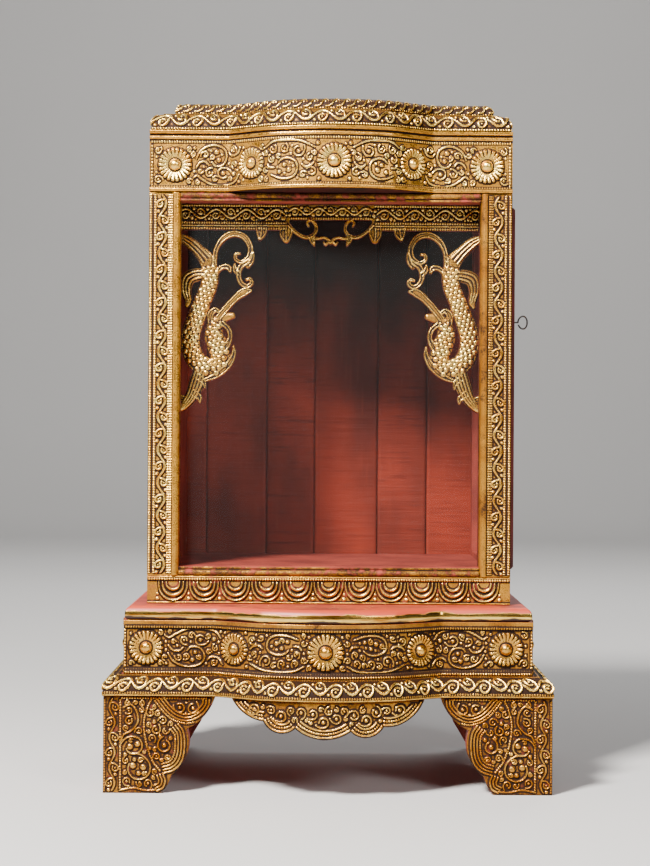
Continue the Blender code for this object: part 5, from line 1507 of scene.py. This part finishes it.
def build_stage():
    mesh = bpy.data.meshes.new("studio_floor")
    reach, far, cove = 10.0, 4.6, 1.6
    line = [(-reach, 0.0)] + [(far + cove * math.sin(a), cove * (1 - math.cos(a)))
                              for a in np.linspace(0, math.pi / 2, 17)] + [(far + cove, 6.0)]
    places = [(x, y, z) for y, z in line for x in (-reach, reach)]
    mesh.from_pydata(places, [], [(2 * k, 2 * k + 1, 2 * k + 3, 2 * k + 2) for k in range(len(line) - 1)])
    mesh.shade_smooth()
    floor = bpy.data.objects.new("studio_floor", mesh)
    bpy.context.scene.collection.objects.link(floor)
    f = Finish("studio_floor_pale")
    shade = f.noise(900.0, 2.0)
    mesh.materials.append(f.finished(f.mix(shade, (0.52, 0.51, 0.50), (0.56, 0.55, 0.54)), 0.85))
    world = bpy.data.worlds.new("studio_air")
    world.use_nodes = True
    world.node_tree.nodes["Background"].inputs["Color"].default_value = (0.62, 0.62, 0.63, 1.0)
    world.node_tree.nodes["Background"].inputs["Strength"].default_value = 0.05
    bpy.context.scene.world = world
    aim = (0.0, 0.0, 0.36)
    add_light("key_light", (-0.85, -1.45, 1.9), (0.0, 0.0, 0.42), 0.4, 225.0, (1.0, 0.97, 0.93))
    add_light("fill_light", (1.5, -2.2, 1.6), aim, 0.8, 38.0)
    add_light("rear_light", (0.6, 2.2, 2.4), aim, 1.8, 30.0)
    add_light("backdrop_light", (0.0, 2.0, 3.6), (0.0, 5.6, 1.0), 3.0, 130.0)
    lens = bpy.data.cameras.new("camera")
    lens.lens = 2000.0 / 866.0 * 36.0
    camera = bpy.data.objects.new("camera", lens)
    tilt = Matrix.Rotation(math.radians(90), 4, "X") @ Matrix.Rotation(math.radians(0.35), 4, "Z")
    camera.matrix_world = Matrix.Translation((-0.0045, -2.080, 0.353)) @ tilt
    bpy.context.scene.collection.objects.link(camera)
    bpy.context.scene.camera = camera


class SHRINE_OT_carcass(bpy.types.Operator):
    """Finishes the boards, the door, the hinges and the pane"""
    bl_idname = "shrine.carcass"
    bl_label = "Carcass, Door and Glass"

    def execute(self, context):
        build_carcass()
        build_back_boards()
        return {"FINISHED"}


class SHRINE_OT_top(bpy.types.Operator):
    """Carves the two slabs of the top"""
    bl_idname = "shrine.top"
    bl_label = "Cornice and Cap"

    def execute(self, context):
        build_cornice_and_cap()
        return {"FINISHED"}


class SHRINE_OT_frieze(bpy.types.Operator):
    """Carves the bowed frieze with its rosettes"""
    bl_idname = "shrine.frieze"
    bl_label = "Frieze"

    def execute(self, context):
        build_frieze()
        return {"FINISHED"}


class SHRINE_OT_frame(bpy.types.Operator):
    """Carves the stiles, head, sill and the rail of lotus petals"""
    bl_idname = "shrine.frame"
    bl_label = "Frame"

    def execute(self, context):
        build_frame()
        build_lotus_rail()
        return {"FINISHED"}


class SHRINE_OT_base(bpy.types.Operator):
    """Carves the plinth, the tier and the ledge"""
    bl_idname = "shrine.base"
    bl_label = "Base"

    def execute(self, context):
        build_plinth()
        build_tier()
        build_ledge()
        return {"FINISHED"}


class SHRINE_OT_feet(bpy.types.Operator):
    """Carves the front feet and the apron"""
    bl_idname = "shrine.feet"
    bl_label = "Feet and Apron"

    def execute(self, context):
        build_feet()
        build_apron()
        return {"FINISHED"}


class SHRINE_OT_inside(bpy.types.Operator):
    """Carves the hanging board and the two nagas"""
    bl_idname = "shrine.inside"
    bl_label = "Inside Carving"

    def execute(self, context):
        build_valance()
        build_nagas()
        return {"FINISHED"}


class SHRINE_OT_pull(bpy.types.Operator):
    """Bends the wire loop of the door"""
    bl_idname = "shrine.pull"
    bl_label = "Door Pull"

    def execute(self, context):
        build_door_pull()
        return {"FINISHED"}


class SHRINE_OT_stage(bpy.types.Operator):
    """Sets the floor, the lights and the camera"""
    bl_idname = "shrine.stage"
    bl_label = "Stage"

    def execute(self, context):
        build_stage()
        return {"FINISHED"}


OPERATORS = (SHRINE_OT_carcass, SHRINE_OT_top, SHRINE_OT_frieze, SHRINE_OT_frame, SHRINE_OT_base,
             SHRINE_OT_feet, SHRINE_OT_inside, SHRINE_OT_pull, SHRINE_OT_stage)


class SHRINE_PT_panel(bpy.types.Panel):
    """The steps of the shrine, in order"""
    bl_label = "Temple Shrine"
    bl_idname = "SHRINE_PT_panel"
    bl_space_type = "VIEW_3D"
    bl_region_type = "UI"
    bl_category = "Shrine"

    def draw(self, context):
        for step in OPERATORS:
            self.layout.operator(step.bl_idname)


CLASSES = [ShrineColours, ShrineSizes, *OPERATORS, SHRINE_PT_panel]


def register():
    for item in CLASSES:
        bpy.utils.register_class(item)
    bpy.types.Scene.shrine_colours = PointerProperty(type=ShrineColours)
    bpy.types.Scene.shrine_sizes = PointerProperty(type=ShrineSizes)


def unregister():
    del bpy.types.Scene.shrine_colours
    del bpy.types.Scene.shrine_sizes
    for item in reversed(CLASSES):
        bpy.utils.unregister_class(item)


def main():
    register()
    for step in OPERATORS:
        getattr(bpy.ops.shrine, step.bl_idname.split(".")[1])()


if __name__ == "__main__":
    main()
